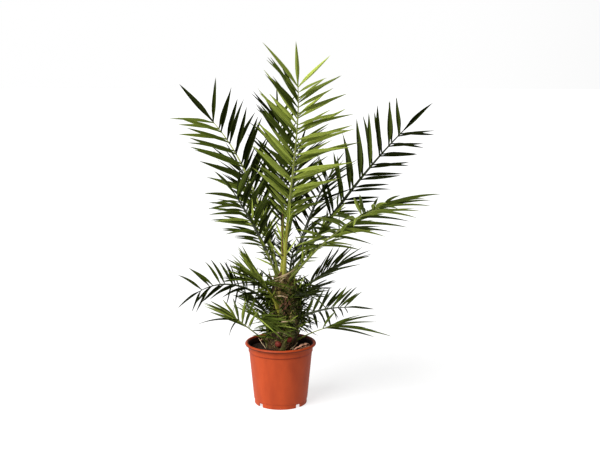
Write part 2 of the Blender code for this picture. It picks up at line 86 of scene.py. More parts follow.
# Soil and trunk. The trunk leans a little to +X.
SOIL_EDGE_Z = 0.1850
SOIL_CROWN_Z = 0.1915
TRUNK_RADII = (0.034, 0.0465, 0.0465, 0.0430, 0.0395, 0.0370, 0.0355, 0.032, 0.025, 0.014)
TRUNK_HEIGHTS = (0.166, 0.192, 0.220, 0.260, 0.300, 0.345, 0.380, 0.408, 0.430, 0.443)
TRUNK_TOP = 0.447
LEAN_HEIGHTS = (0.192, 0.240, 0.300, 0.355, 0.400, 0.450)
LEAN_OFFSETS = (0.0, 0.007, 0.018, 0.020, 0.013, 0.007)
GOLDEN_ANGLE = 137.5

# Soil: where its height is given, the lengths of its waves, its gap to the pot, its rings and
# sides, and how far from the axis the crumbs lie, their sizes and their shape
SOIL_REACHES = (0.05, 0.066, 0.088, 0.104)
SOIL_HEIGHTS = (SOIL_CROWN_Z, 0.1885, 0.186, SOIL_EDGE_Z)
SOIL_WAVES = (0.034, 0.021, 0.015, 0.011, 0.008, 0.006)
SOIL_GAP = 0.0003
SOIL_RINGS = 60
SOIL_SIDES = 120
CRUMB_REACHES = (0.048, 0.101)
CRUMB_SIZES = (0.0008, 0.0030)
CRUMB_CORNERS = ((1, 0, 0), (0, 1, 0), (-1, 0, 0), (0, -1, 0), (0, 0, 1), (0, 0, -1))
CRUMB_FACES = ((0, 1, 4), (1, 2, 4), (2, 3, 4), (3, 0, 4), (1, 0, 5), (2, 1, 5), (3, 2, 5), (0, 3, 5))

# Fronds: one row of driving sizes each, lengths in metres and angles in degrees.
# seat, z and r place the foot on the trunk; az is the heading; e0 and e1 the rise at foot and tip;
# roll turns the blade about its rib; bare is the leafless share; n leaflets a side; then leaflet
# length left and right, the tip's share of each, the end leaflet, opening angles, their closing,
# the V angle and the sag. The last line is for the looks: how light the leaflets are on each side,
# from 0, near black, to 1, yellow-green, which is painted shade and painted light for how the
# light falls on that side; how full they are against the solid's; the stalk's tint and its width
# against the solid's; the rib's tint; which finer leaflets are added; and the frond whose tone its
# slim leaflets take, if it has any.
COLUMNS = (
    "name seat z r length az turn e0 e1 roll "
    "bare n leaf_l leaf_r tip_l tip_r end open_l open_r close vee sag "
    "light_l light_r full stalk stalk_width rib more slim"
)
FRONDS = (
    ("front_high", -80, .425, .014, .675, -33, -62, 87, 55, 0,
     .29, 17, .195, .236, .90, .55, .16, 46, 78, .35, 14, .02,
     .62, .74, 2.20, "bright", 1.15, "pale", "finer", "front_high"),
    ("back_high", 100, .425, .014, .550, 105, 0, 91, 72, 0,
     .32, 14, .135, .165, .80, .80, .11, 36, 42, .14, 14, .02,
     .30, .20, 1.70, "bright", 1.10, "dark", "finer stalk", "front_high"),
    ("left_high", 150, .420, .016, .630, 135, 0, 72, 34, -40,
     .36, 15, .190, .185, .88, .85, .23, 46, 48, .14, 14, .02,
     .03, .38, 2.55, "olive", 0.70, "pale", "stalk", "front_high"),
    ("left_mid", 215, .415, .018, .380, 230, 0, 62, 48, 45,
     .36, 12, .142, .155, .74, .90, .13, 50, 48, .14, 14, .14,
     .40, .20, 2.25, "olive", 0.60, "dark", "finer stalk", "front_high"),
    ("right_high", 35, .420, .016, .77, 45, 0, 43, 31, 45,
     .34, 16, .150, .225, .88, .72, .20, 50, 44, .14, 14, .02,
     .02, .22, 2.50, "olive", 0.90, "dark", "stalk", "front_high"),
    ("right_mid", -40, .415, .018, .490, -40, 0, 48, 20, -7,
     .34, 15, .19, .20, .85, .90, .15, 82, 68, .72, 2, .12,
     .56, .48, 2.10, "olive", 0.95, "pale", "finer stalk", "right_mid"),
    ("left_low", 190, .320, .034, .286, 190, 0, 47, -30, -60,
     .25, 11, .110, .100, .95, .8, .085, 54, 34, -.2, 20, .16,
     .16, .06, 2.25, "dark", 0.40, "dark", "stalk", ""),
    ("left_bottom", 200, .205, .040, .19, 225, 0, 37, 38, 40,
     .58, 9, .160, .130, .90, .90, .13, 18, 54, .80, 14, .05,
     .58, .50, 1.90, "olive", 0.80, "pale", "", ""),
    ("front_left_low", 240, .314, .034, .155, 205, 0, 66, 38, -62,
     .68, 10, .140, .135, .90, .90, .13, 14, 3, -.9, 6, .05,
     .62, .48, 2.20, "bright", 1.90, "pale", "finer stalk", ""),
    ("right_low_back", 20, .360, .032, .188, 15, 0, 42, 22, 15,
     .30, 11, .142, .130, .90, .90, .12, 34, 33, .45, 14, .03,
     .14, .06, 1.80, "dark", 0.40, "dark", "stalk", ""),
    ("right_low", -30, .290, .034, .215, -35, 0, 27, 7, -62,
     .20, 13, .125, .098, .85, .35, .11, 38, 112, .20, 14, .05,
     .18, .05, 1.90, "dark", 0.40, "dark", "stalk", ""),
    ("right_bottom", -15, .210, .040, .165, -20, 0, 32, 15, -40,
     .68, 4, .188, .195, 1.0, 1.0, .15, 24, 53, .62, 14, .10,
     .36, .30, 1.55, "olive", 0.80, "pale", "", ""),
    ("back_mid", 95, .415, .018, .560, 80, 0, 66, 30, 0,
     .34, 15, .160, .160, .85, .85, .13, 46, 46, .14, 14, .05,
     .20, .12, 1.70, "olive", 0.70, "dark", "finer stalk", "right_mid"),
    ("back_left_mid", 140, .400, .024, .460, 125, 0, 68, 40, 0,
     .34, 10, .155, .155, .85, .85, .13, 46, 46, .14, 14, .04,
     .12, .07, 1.70, "dark", 0.40, "dark", "finer stalk", ""),
    ("back_right_mid", 62, .400, .024, .450, 58, 0, 60, 38, 0,
     .34, 10, .150, .150, .85, .85, .13, 46, 46, .14, 14, .04,
     .12, .07, 1.70, "dark", 0.40, "dark", "finer stalk", ""),
    ("back_left_low", 135, .345, .032, .20, 138, 0, 30, -12, 0,
     .30, 9, .105, .105, .80, .80, .10, 50, 50, .14, 18, .05,
     .07, .04, 1.70, "dark", 0.40, "dark", "finer stalk", ""),
    ("back_low", 85, .340, .032, .300, 85, 0, 48, 0, 0,
     .30, 10, .125, .125, .80, .80, .10, 50, 50, .14, 18, .05,
     .09, .05, 1.70, "dark", 0.40, "dark", "finer stalk", ""),
    ("back_right_low", 55, .290, .034, .22, 68, 0, 30, -8, 0,
     .30, 9, .120, .120, .80, .80, .10, 50, 50, .14, 18, .05,
     .07, .04, 1.70, "dark", 0.40, "dark", "finer stalk", ""),
    ("back_bottom", 110, .215, .040, .230, 115, 0, 36, 5, 0,
     .35, 9, .120, .120, .85, .85, .10, 46, 46, .14, 18, .05,
     .12, .08, 1.70, "dark", 0.40, "dark", "finer stalk", ""),
    ("front_bottom", 215, .226, .040, .125, 228, 0, 62, 28, -10,
     .30, 9, .090, .128, .85, .85, .10, 40, 96, .1, 14, .03,
     .50, .44, 1.70, "olive", 0.70, "pale", "finer", ""),
    ("front_right_low", -60, .360, .032, .135, -55, 0, 34, -15, 0,
     .35, 9, .072, .072, .85, .85, .09, 50, 50, .14, 14, .06,
     .16, .08, 1.50, "dark", 0.40, "dark", "stalk", ""),
)
ROWS = [dict(zip(COLUMNS.split(), values)) for values in FRONDS]
FROND = {row["name"]: row for row in ROWS}

# The fronds' rule, as in the solids: the seed, each path's steps and bend, the rib's radii at
# shares of its length, and what size of frond counts as large
SEED = 7
PATH_STEPS = 40
BEND = 1.5
RIB_PLACES = (0.0, 0.45, 1.0)
RIB_RADII = (0.0060, 0.0036, 0.0013)
LARGE_FROND = 0.35
SMALL_FROND_SHARE = 0.70

# Its leaflets: width in metres and by length, the breaks of their segments and the half widths
# between, seeded spreads in shares and degrees, lengths at places up the blade, the gaps kept
# free, and the sizes and turns tried in order
LEAF_WIDTH_BASE = 0.0020
LEAF_WIDTH_SHARE = 0.045
SEGMENT_BREAKS = (0.0, 0.35, 0.7, 1.0)
SEGMENT_HALVES = (0.42, 0.50, 0.30)
LEAF_PAIRING = 0.22
PLACE_SPREAD = 0.12
OPEN_SPREAD = 5.0
VEE_SPREAD = 9.0
VEE_STAGGER = 6.0
LENGTH_SPREAD = (0.92, 1.06)
LENGTH_PLACES = (0.0, 0.18, 0.45, 0.75, 1.0)
LENGTH_SHARES = (0.55, 0.86, 1.0)
FREE_GAP = 0.0008
BODY_GAP = 0.003
TRY_SIZES = (1.0, 0.82, 0.66)
TRY_TURNS = (
    (0, 0), (7, 0), (-7, 0), (0, 10), (0, -10), (13, 6), (-13, -6), (0, 20), (0, -20),
    (18, 14), (-18, 14), (18, -14), (-18, -14),
)

# Finer leaflets between the solids' own: their length's share and how far they leave the plane
FILL_SHARE = 0.82
FILL_VEE = 16.0

# Stiff leaflets on the bare stalks: their spacing on small and large fronds, where they start as
# a share of the stalk, their opening and V angles, their lengths and sag
STALK_GAP = 0.010
STALK_GAP_HIGH = 0.022
STALK_FROM = 0.30
STALK_OPEN = (28.0, 62.0)
STALK_VEE = (-55.0, 60.0)
STALK_SHORT = 0.026
STALK_LONG = 0.062
STALK_LONG_HIGH = 0.050
STALK_SPREAD = (0.8, 1.15)
STALK_SAG = 0.04

# Short leaflets of the inmost shoots, and those that cross the trunk: count, heights and lengths
# in metres, angles in degrees, how far out they head, and the frond whose tones they take
SHORT_SAG = 0.10
INNER_COUNT = 180
INNER_HEIGHTS = (0.262, 0.395)
INNER_ASIDE = 68.0
INNER_RISE = (-35.0, 55.0)
INNER_ROLL = 1.2
INNER_SUNK = 0.004
INNER_LENGTHS = (0.045, 0.085)
# The inmost leaflets take a dark frond's tones: painted shade round the trunk.
INNER_LIKE = "back_left_low"
CROSSING_COUNT = 110
CROSSING_HEIGHTS = (0.212, 0.432)
CROSSING_RISE = (-18.0, 62.0)
CROSSING_OUT = (0.05, 0.45)
CROSSING_OFF = 0.003
CROSSING_LENGTHS = (0.050, 0.105)
CROSSING_LIKE = "front_bottom"

# Slim leaflets low on the upper fronds' stalks: heights and lengths in metres, how far they open
# in degrees, and their number each
SLIM_HEIGHTS = (0.470, 0.640)
SLIM_LENGTHS = (0.050, 0.115)
SLIM_OPEN = (12.0, 48.0)
SLIM_COUNT = 9

# A leaflet's shape from root to tip, and the place across it of its edge, groove, edge and keel
LEAF_STATIONS = np.array((0.0, 0.05, 0.13, 0.24, 0.36, 0.50, 0.64, 0.78, 0.90, 1.0))
LEAF_TAPER = 2.4
LEAF_ROOT_SHARE = 0.34
LEAF_SHOULDER = 0.34
LEAF_TIP_SHARE = 0.02
TWIST_FROM = 0.2
KEEL_THINNING = 0.75
IN_FOLD = np.array((0.0, 1.0, 0.0, 1.0))
LEAF_TINTS = 8
TONE_SPREAD = 0.32
TONE_EVEN = 0.35

# Strap-like leaves: the frond that they belong to, and their share of the leaflets' twist
STRAP_LIKE = "front_left_low"
STRAP_TWIST = 0.5

# Petioles and ribs: sides and stations, depth by width, the channel's share, the sheath's start,
# reach and flare, and how wide pale and dark ribs are against the solid's
RIB_SIDES = 10
RIB_STATIONS = 25
RIB_DEPTH = 0.80
RIB_CHANNEL = 0.45
SHEATH_START = 0.018
SHEATH_REACH = 0.030
SHEATH_FLARE = 0.7
RIB_WIDTH = 1.05
DARK_RIB_WIDTH = 1.55

# The trunk's grid, its leaf scars, and its ridges: how many go round, how high they stand, their
# seeded drift in radians a metre, and the length below the top in which they fade
TRUNK_COLUMNS = 168
TRUNK_ROWS = 132
TRUNK_ROUND = 0.012
BARK_SCALES = 62
BARK_LOW = 0.186
BARK_HIGH = 0.425
SCAR_LENGTH = 0.040
RIDGES = ((23, 0.0005), (41, 0.0004), (67, 0.0003))
RIDGE_DRIFT = (20, 90)
TRUNK_FADE = 0.03

# Leaf bases: count, first turn and heights of each spiral, how clear of petioles they stay, the
# height where they close over the heart, the points outside and inside, how thick margins and
# tips are, how far the lowest lie out, then seeded spreads of length, slant and lift, how much of
# a base lies below its place, and how its margins arch down
BASE_SPIRALS = ((52, 0.0, 0.205, 0.415), (48, 0.5, 0.212, 0.405))
BASE_FREE = 0.010
BASE_STATIONS = 9
HEART_Z = 0.412
BASE_OUTSIDE = 9
BASE_INSIDE = 5
BASE_THIN = 0.0012
BASE_THICK = 0.0030
BASE_LAYERS = 0.0035
BASE_LENGTHS = (0.75, 1.25)
BASE_SLANTS = (-0.25, 0.25)
BASE_LIFTS = (0.5, 1.3)
BASE_BELOW = 0.45
BASE_ARCH = 0.10

# Cut stubs: turn in degrees and height; then their reach and how much of it is sunk in, half
# width and half height, how much they rise on the way out, and their sides
CUT_STUBS = ((-101, 0.214), (-62, 0.229), (60, 0.220), (150, 0.226))
STUB_REACH = 0.020
STUB_SUNK = 0.3
STUB_WIDTH = 0.0112
STUB_DEPTH = 0.0118
STUB_RISE = 0.35
STUB_SIDES = 16

# Loose fibres: stations, heights, lengths and slopes, how far off the trunk they lie and wave,
# the share of them that stick out and that are tan, how far out they stick, the radius that they
# turn on, and the seeded spread of their own radius
STRAND_STATIONS = 14
STRAND_HEIGHTS = (0.196, 0.400)
STRAND_LENGTHS = (0.025, 0.085)
STRAND_SLOPES = (4, 50)
STRAND_OFF = 0.0052
STRAND_WAVE = 0.0032
STRAND_STRAY = 0.12
STRAND_TAN = 0.38
STRAND_OUT = 0.006
STRAND_REACH = 0.045
STRAND_RADII = (0.6, 2.2)

# Dry strips, fibres and flakes: stations and sides, half thicknesses, the flakes' half width, and
# how high a flake arches as a share of its length
STRIP_STATIONS = 16
RIBBON_SIDES = 8
STRIP_THICK = 0.0005
RIBBON_THICK = 0.0006
FLAKE_HALF = 0.0060
FLAKE_ARCH = 0.22

# Stage: the floor's rings, the key light's direction and place, the camera's place, and the
# heading that the surround is brightest in
FLOOR_REACHES = (90.0, 3.0, 0.01)
KEY_ELEVATION = math.radians(42)
KEY_AZIMUTH = math.radians(-138)
KEY_PLACE = (-1.5, -2.5, 2.5)
CAMERA_PLACE = (0.0653, -3.1, 1.088)
SURROUND_AWAY = (-0.55, 0.80, 0.0)

# Dry strips of old sheath that cross the trunk: width, then points, in millimetres
DRY_STRIPS = (
    (3.4, (-34, -46, 428), (-2, -56, 444), (30, -56, 456), (68, -44, 480)),
    (2.6, (-38, -50, 420), (-10, -56, 432), (20, -56, 450), (46, -50, 462)),
    (3, (-12, -52, 418), (2, -55, 428), (18, -54, 444), (30, -50, 450)),
    (4.4, (-44, -50, 283), (-4, -69, 294), (34, -68, 299), (62, -50, 298)),
    (3, (-30, -52, 372), (-4, -69, 384), (16, -68, 380), (38, -52, 366)),
    (4.4, (-44, -50, 270), (-12, -70, 262), (20, -70, 255), (46, -54, 246)),
    (2.6, (-40, -44, 262), (-10, -60, 256), (16, -60, 246), (40, -52, 232)),
    (2.8, (-78, -44, 246), (-66, -56, 226), (-52, -66, 210), (-40, -70, 196)),
    (2.6, (62, -46, 226), (52, -58, 214), (40, -68, 206), (24, -74, 200)),
    (4.5, (42.5, -72, 192), (42.8, -73, 199), (42.4, -74, 206), (42, -74, 212)),
    (3.5, (50, 40, 330), (20, 62, 322), (-14, 60, 330), (-44, 40, 345)),
    (3, (-50, 30, 262), (-26, 54, 270), (4, 60, 262), (36, 50, 250)),
)

# Strap-like young leaves in front of the trunk and beside it: width, tone, then points, in
# millimetres. The tone paints their light and shade on the leaflets' scale.
STRAP_LEAVES = (
    (10, .42, (-70, -62, 430), (-17, -66, 428), (32, -66, 414), (66, -56, 394)),
    (8.5, .34, (-66, -60, 428), (-10, -66, 418), (20, -64, 404), (36, -58, 390)),
    (5.5, .36, (-58, -60, 430), (-30, -62, 434), (4, -62, 440), (40, -56, 452)),
    (10, .66, (-96, -66, 288), (-26, -66, 302), (0, -63, 308), (40, -56, 316)),
    (8.5, .52, (-86, -60, 268), (-17, -66, 289), (20, -62, 295), (56, -50, 299)),
    (8, .7, (-57, -66, 251), (-6, -68, 265), (10, -66, 263), (36, -60, 250)),
    (6, .58, (-33, -64, 278), (0, -64, 284), (32, -60, 289), (66, -48, 292)),
    (6, .5, (-86, -54, 296), (-56, -60, 310), (-26, -60, 326), (-2, -58, 334)),
    (7.5, .2, (-60, -52, 262), (-26, -62, 272), (14, -62, 276), (60, -46, 262)),
    (6.5, .26, (60, -50, 330), (36, -58, 318), (6, -62, 300), (-24, -58, 276)),
    (6, .18, (66, -44, 362), (44, -54, 352), (20, -60, 334), (-4, -60, 306)),
    (6, .22, (-52, -40, 372), (-34, -50, 350), (-20, -56, 322), (-14, -60, 290)),
    (5.5, .16, (-60, -44, 318), (-30, -56, 326), (4, -60, 340), (34, -54, 360)),
    (6, .18, (64, -40, 246), (40, -56, 244), (10, -62, 236), (-20, -60, 220)),
    (9.5, .1, (-140, -118, 316), (-175, -124, 320), (-218, -128, 316), (-268, -130, 302)),
    (9, .08, (-136, -116, 314), (-146, -122, 302), (-156, -126, 286), (-164, -128, 262)),
    (11, .62, (-74, -68, 434), (-100, -78, 466), (-130, -84, 500), (-160, -86, 528)),
    (10.5, .7, (-72, -68, 436), (-90, -78, 470), (-110, -84, 504), (-130, -86, 533)),
    (10, .55, (-76, -68, 432), (-112, -78, 450), (-150, -82, 464), (-189, -84, 474)),
    (9, .48, (-76, -66, 430), (-112, -70, 436), (-150, -72, 438), (-180, -72, 434)),
    (12, .1, (-156, -31, 411), (-162, -34, 440), (-170, -38, 468), (-178, -42, 494)),
    (12, .14, (-136, -28, 405), (-145, -31, 434), (-156, -35, 462), (-166, -40, 486)),
    (12, .2, (-114, -23, 397), (-122, -27, 424), (-134, -31, 450), (-147, -36, 472)),
    (14, .22, (-118, -24, 399), (-112, -34, 372), (-106, -44, 342), (-102, -50, 308)),
    (13, .12, (-136, -28, 405), (-142, -36, 380), (-148, -44, 352), (-156, -50, 325)),
    (13, .16, (-96, -20, 390), (-104, -34, 360), (-116, -46, 330), (-128, -54, 302)),
    (12, .12, (-160, -31, 411), (-166, -38, 388), (-172, -44, 364), (-182, -50, 340)),
    (5.5, .24, (-62, -40, 250), (-36, -54, 246), (-8, -62, 234), (16, -62, 214)),
    (8, .3, (64, 52, 404), (36, 62, 400), (2, 62, 386), (-44, 50, 360)),
    (7, .38, (-60, 50, 300), (-26, 60, 312), (10, 62, 318), (50, 50, 310)),
    (6.5, .3, (66, 30, 350), (68, 4, 340), (64, -20, 322), (52, -44, 296)),
    (6.5, .32, (-50, 44, 392), (-50, 12, 386), (-46, -18, 368), (-34, -46, 340)),
)

# Reddish strips of fibre on the trunk's face and between the two middle stalks: width, then
# points, in millimetres
FIBRE_STRIPS = (
    (2.8, (8.5, -34, 468), (7.8, -40, 540), (8, -48, 620), (9, -56, 700)),
    (5, (-10, -50, 330), (4, -56, 346), (18, -56, 368), (28, -50, 388)),
    (4.5, (-4, -50, 318), (12, -56, 334), (28, -56, 352), (40, -48, 374)),
    (4, (34, -52, 316), (24, -57, 336), (10, -57, 358), (-2, -50, 378)),
    (4.5, (8, -54, 310), (16, -57, 328), (20, -57, 352), (18, -52, 380)),
    (4, (44, -44, 330), (36, -52, 346), (26, -56, 366), (22, -54, 392)),
)

# Dry flakes lying inside the rim: x, y, z and length in millimetres, and turn in degrees
DRY_FLAKES = (
    (52, -82, 199, 20, 8),
    (62, -78, 206, 34, 24),
    (74, -70, 211, 36, 40),
    (86, -58, 212, 32, 52),
    (92, -50, 206, 22, 70),
    (76, -58, 199, 26, -30),
    (88, -40, 199, 20, 10),
    (66, -66, 197, 22, 70),
    (-60, 70, 193, 28, 15),
    (30, 82, 192, 24, -50),
)


def linear(colour):
    """An sRGB hex colour as linear red, green and blue."""
    parts = [int(colour[k : k + 2], 16) / 255 for k in (1, 3, 5)]
    return tuple(c / 12.92 if c <= 0.04045 else ((c + 0.055) / 1.055) ** 2.4 for c in parts)


def settled(name, described, value, **kind):
    """A number that the sidebar shows."""
    return bpy.props.FloatProperty(name=name, description=described, default=value, **kind)


def in_metres(name, described, value):
    """A length that the sidebar shows."""
    return settled(name, described, value, unit="LENGTH")


def in_degrees(name, described, value):
    """An angle that the sidebar shows, from degrees."""
    return settled(name, described, math.radians(value), subtype="ANGLE")


def counted(name, described, value):
    """A whole number that the sidebar shows."""
    return bpy.props.IntProperty(name=name, description=described, default=value, min=0)


def tinted(name, colour):
    """A colour that the sidebar shows, described by its name."""
    described = f"Colour of the {name.lower()}"
    kind = {"subtype": "COLOR", "size": 3, "min": 0.0, "max": 1.0}
    return bpy.props.FloatVectorProperty(name=name, description=described, default=linear(colour), **kind)


class PotLook(bpy.types.PropertyGroup):
    """Sizes and colours of the pot"""

    colour: tinted("Plastic", "#AA421C")
    deep: tinted("Flow marks", "#983817")
    # Painted shade: a deep red that darkens the corners under the rim and under the band.
    corner: tinted("Painted shade in corners", "#6A190B")
    # Soil staining and painted shade: near black on the inner wall.
    stain_and_shade: tinted("Soil stain", "#140A06")
    roughness: settled("Roughness", "How matt the plastic's skin is", 0.50, min=0.0, max=1.0)
    grain: in_metres("Grain", "Spacing of the moulded grain", 0.0012)


class SoilLook(bpy.types.PropertyGroup):
    """Sizes and colours of the soil"""

    colour: tinted("Peat", "#2A1C12")
    light: tinted("Dry fibres", "#5A4028")
    relief: in_metres("Relief", "Height of the lumps on the surface", 0.0022)
    crumbs: counted("Crumbs", "Loose crumbs on the surface", 420)


class TrunkLook(bpy.types.PropertyGroup):
    """Sizes and colours of the trunk and what clothes it"""

    bark: tinted("Fibre mat", "#6A5030")
    shade: tinted("Shaded fibre", "#120D06")
    base_green: tinted("Green bases", "#666A30")
    base_tan: tinted("Tan bases", "#9C864A")
    base_brown: tinted("Brown bases", "#40321A")
    cut_end: tinted("Cut ends", "#8A2E22")
    fibre: tinted("Reddish fibre", "#6A3C1E")
    flake: tinted("Dry flakes", "#B98468")
    dry: tinted("Dry sheath", "#BCA37E")
    scale_out: in_metres("Scale height", "How far a leaf scar stands out of the trunk", 0.0032)
    scar_width: in_metres("Scar width", "Width of a leaf scar", 0.018)
    base_length: in_metres("Leaf base length", "Length of an old leaf base", 0.056)
    base_width: in_metres("Leaf base width", "Width of an old leaf base at its foot", 0.027)
    base_tip: in_metres("Leaf base tip width", "Width of an old leaf base at its cut tip", 0.0070)
    base_out: in_metres("Leaf base tip", "How far a leaf base's tip stands out", 0.0125)
    strands: counted("Strands", "Loose fibres round the trunk", 1500)
    strand_radius: in_metres("Strand radius", "Radius of one fibre", 0.00042)


class FrondLook(bpy.types.PropertyGroup):
    """Sizes and colours of the fronds"""

    # Leaflet tints: near black is painted shade, yellow-green is painted light, for how the light falls on
    # each frond.
    painted_shade_green: tinted("Leaflets in painted shade", "#090D04")
    middle: tinted("Middle leaflets", "#4B581C")
    painted_light_green: tinted("Leaflets in painted light", "#A6B450")
    # Petiole tints: the bright one is partly painted light, the dark one painted shade.
    petiole_bright: tinted("Young petioles in painted light", "#A8A636")
    petiole_olive: tinted("Petioles", "#727C2E")
    petiole_dark: tinted("Petioles in painted shade", "#2C3416")
    rib: tinted("Ribs", "#868F40")
    rib_dark: tinted("Shaded ribs", "#252D12")
    fold: in_degrees("Fold", "How far a leaflet's halves stand up", 42)
    root_fold: in_degrees("Root fold", "Fold where a leaflet leaves the rib", 58)
    twist: in_degrees("Twist", "Turn of a leaflet from root to tip", 60)
    thickness: in_metres("Thickness", "Thickness of a leaflet along its keel", 0.0011)
    bow: settled("Bow", "Sideways bend of a leaflet as a share of its length", 0.03)


class StageLook(bpy.types.PropertyGroup):
    """Sizes and colours of the stage"""

    paper: tinted("Paper", "#9A9A9A")
    lens: settled("Lens", "Focal length for a 36 mm sensor, in millimetres", 56.88)
    tilt: in_degrees("Camera tilt", "How far the camera looks down", 8.82)
    key: settled("Key light", "Strength of the large light on the left, in watts a square metre", 5.0)
    key_size: in_degrees("Key size", "Angle that the key light fills", 48)
    glow: settled("Paper glow", "Even light that the lit table under the paper gives", 0.75)
    horizon: settled("Surround", "Brightness of the surround level with the plant", 1.0)
    overhead: settled("Overhead", "Brightness of the surround overhead", 0.36)
    nearby: settled("Near side", "Brightness of the surround behind the camera, as a share", 0.26)


def node(tree, kind, settings=None):
    """Adds a shader node. A setting is a property, a socket's value, or a socket to link from."""
    made = tree.nodes.new("ShaderNode" + kind)
    for name, value in (settings or {}).items():
        if isinstance(value, bpy.types.NodeSocket):
            tree.links.new(value, made.inputs[name])
        elif isinstance(name, int) or name in made.inputs:
            made.inputs[name].default_value = value
        else:
            setattr(made, name, value)
    return made


def material_tree(name):
    """A new material and its empty node tree."""
    made = bpy.data.materials.new(name)
    made.use_nodes = True
    made.node_tree.nodes.clear()
    return made, made.node_tree


def finished(made, settings):
    """The material, ended by its Principled surface and its output."""
    surface = node(made.node_tree, "BsdfPrincipled", settings)
    node(made.node_tree, "OutputMaterial", {"Surface": surface.outputs["BSDF"]})
    return made


def own_place(tree):
    """A point's place in its object, in metres."""
    return node(tree, "TexCoord").outputs["Object"]


def own_map(tree):
    """A point's place along and across its body."""
    return node(tree, "UVMap", {"uv_map": "along_across"}).outputs["UV"]


def stretched(tree, vector, scale):
    """The vector with each axis scaled."""
    return node(tree, "Mapping", {"Vector": vector, "Scale": scale}).outputs["Vector"]


def axis_of(tree, vector, axis):
    """One axis of a vector."""
    return node(tree, "SeparateXYZ", {"Vector": vector}).outputs[axis]


def noise(tree, vector, size, detail=2.0, roughness=0.5, distortion=0.0):
    """A noise whose broadest lumps are a size wide, in the vector's own units."""
    settings = {"Vector": vector, "Scale": 1 / size, "Detail": detail, "Roughness": roughness}
    return node(tree, "TexNoise", settings | {"Distortion": distortion}).outputs["Fac"]


def ramp(tree, source, *stops):
    """Colours for a source: each stop's at its place, and their mixtures between."""
    made = node(tree, "ValToRGB", {"Fac": source})
    elements = made.color_ramp.elements
    elements[0].position = stops[0][0]
    elements[1].position = stops[-1][0]
    for place, _ in stops[1:-1]:
        elements.new(place)
    for element, (_, colour) in zip(elements, stops):
        element.color = (*colour, 1.0)
    return made.outputs["Color"]


def ranged(tree, value, start, end, first, last, kind="LINEAR"):
    """The value's way from start to end, drawn out from first to last."""
    settings = {"interpolation_type": kind, "Value": value, "From Min": start, "From Max": end}
    return node(tree, "MapRange", settings | {"To Min": first, "To Max": last}).outputs["Result"]


def blend(tree, share, first, second):
    """The first colour, turning into the second as the share rises from 0 to 1."""
    return node(tree, "Mix", {"data_type": "RGBA", "Factor": share, 6: first, 7: second}).outputs[2]


def bump(tree, height, strength, distance):
    """A normal that follows a height, whose whole range stands for a distance in metres."""
    settings = {"Height": height, "Strength": strength, "Distance": distance}
    return node(tree, "Bump", settings).outputs["Normal"]


def mixed(first, second, share):
    """The colour a share of the way from the first colour to the second."""
    return tuple((1.0 - share) * a + share * b for a, b in zip(first, second))


def paler(colour, times):
    """The colour made lighter by a factor, with a trace of yellow, so that dark ones stay dark."""
    return tuple(min(1.0, times * part + trace) for part, trace in zip(colour, (0.004, 0.004, 0.001)))


def terracotta_polypropylene(look):
    """Injection-moulded polypropylene: an even satin skin that carries one soft highlight.

    Cloudy flow marks 40 mm wide keep it from looking painted, its grain softens the highlight, and painted
    shade deepens it in the corners under the rim and the band, while soil staining with painted shade
    darkens the inner wall.
    """
    made, tree = material_tree("terracotta_polypropylene")
    place = own_place(tree)
    flow = noise(tree, stretched(tree, place, (1.0, 1.0, 0.35)), 0.040, 3.0, 0.45)
    plastic = ramp(tree, flow, (0.30, look.deep), (0.62, look.colour))
    shade_map = own_map(tree)
    # Painted shade in the corners under the rim and under the band.
    corner = blend(tree, axis_of(tree, shade_map, "Y"), plastic, (*look.corner, 1.0))
    # Soil staining and painted shade darken the inner wall to near black.
    colour = blend(tree, axis_of(tree, shade_map, "X"), corner, (*look.stain_and_shade, 1.0))
    dust = noise(tree, place, 0.006, 6.0, 0.6)
    matt = ranged(tree, dust, 0.35, 0.75, look.roughness, look.roughness + 0.12)
    skin = bump(tree, noise(tree, place, look.grain), 0.10, 0.0004)
    satin = {"IOR": 1.49, "Specular IOR Level": 0.16}
    return finished(made, satin | {"Base Color": colour, "Roughness": matt, "Normal": skin})


def damp_peat(look):
    """Damp peat compost: nearly black crumbs with brown fibres in them, rough and without shine.

    The crumbs are drawn 3 mm across, and the fibres 1 mm, as coarse as real sieved peat.
    """
    made, tree = material_tree("damp_peat")
    place = own_place(tree)
    deep = mixed(look.colour, BLACK, 0.55)
    crumb = noise(tree, place, 0.003, 8.0, 0.7)
    colour = ramp(tree, crumb, (0.34, deep), (0.55, look.colour), (0.72, look.light))
    lump = node(tree, "TexVoronoi", {"Scale": 1 / 0.0022, "Vector": place}).outputs["Distance"]
    rough = bump(tree, lump, 0.8, 0.0012)
    return finished(
        made, {"Base Color": colour, "Roughness": 0.93, "Specular IOR Level": 0.25, "Normal": rough}
    )


def matted_fibre(look):
    """The brown fibre that wraps a young palm's trunk: dull, and combed upwards.

    Strands 0.8 mm wide and 14 mm long are drawn by stretching a noise up the trunk, over larger
    patches of light and shade 12 mm across.
    """
    made, tree = material_tree("matted_palm_fibre")
    place = own_place(tree)
    strand = noise(tree, stretched(tree, place, (1.0, 1.0, 0.09)), 0.0016, 5.0, 0.65, 0.4)
    light = mixed(look.bark, look.base_tan, 0.45)
    colour = ramp(tree, strand, (0.32, look.shade), (0.52, look.bark), (0.74, light))
    cover = ranged(tree, noise(tree, place, 0.012, 3.0), 0.38, 0.62, 0.45, 1.0)
    dimmed = blend(tree, cover, (*look.shade, 1.0), colour)
    rough = bump(tree, strand, 0.9, 0.0010)
    return finished(
        made, {"Base Color": dimmed, "Roughness": 0.88, "Specular IOR Level": 0.3, "Normal": rough}
    )


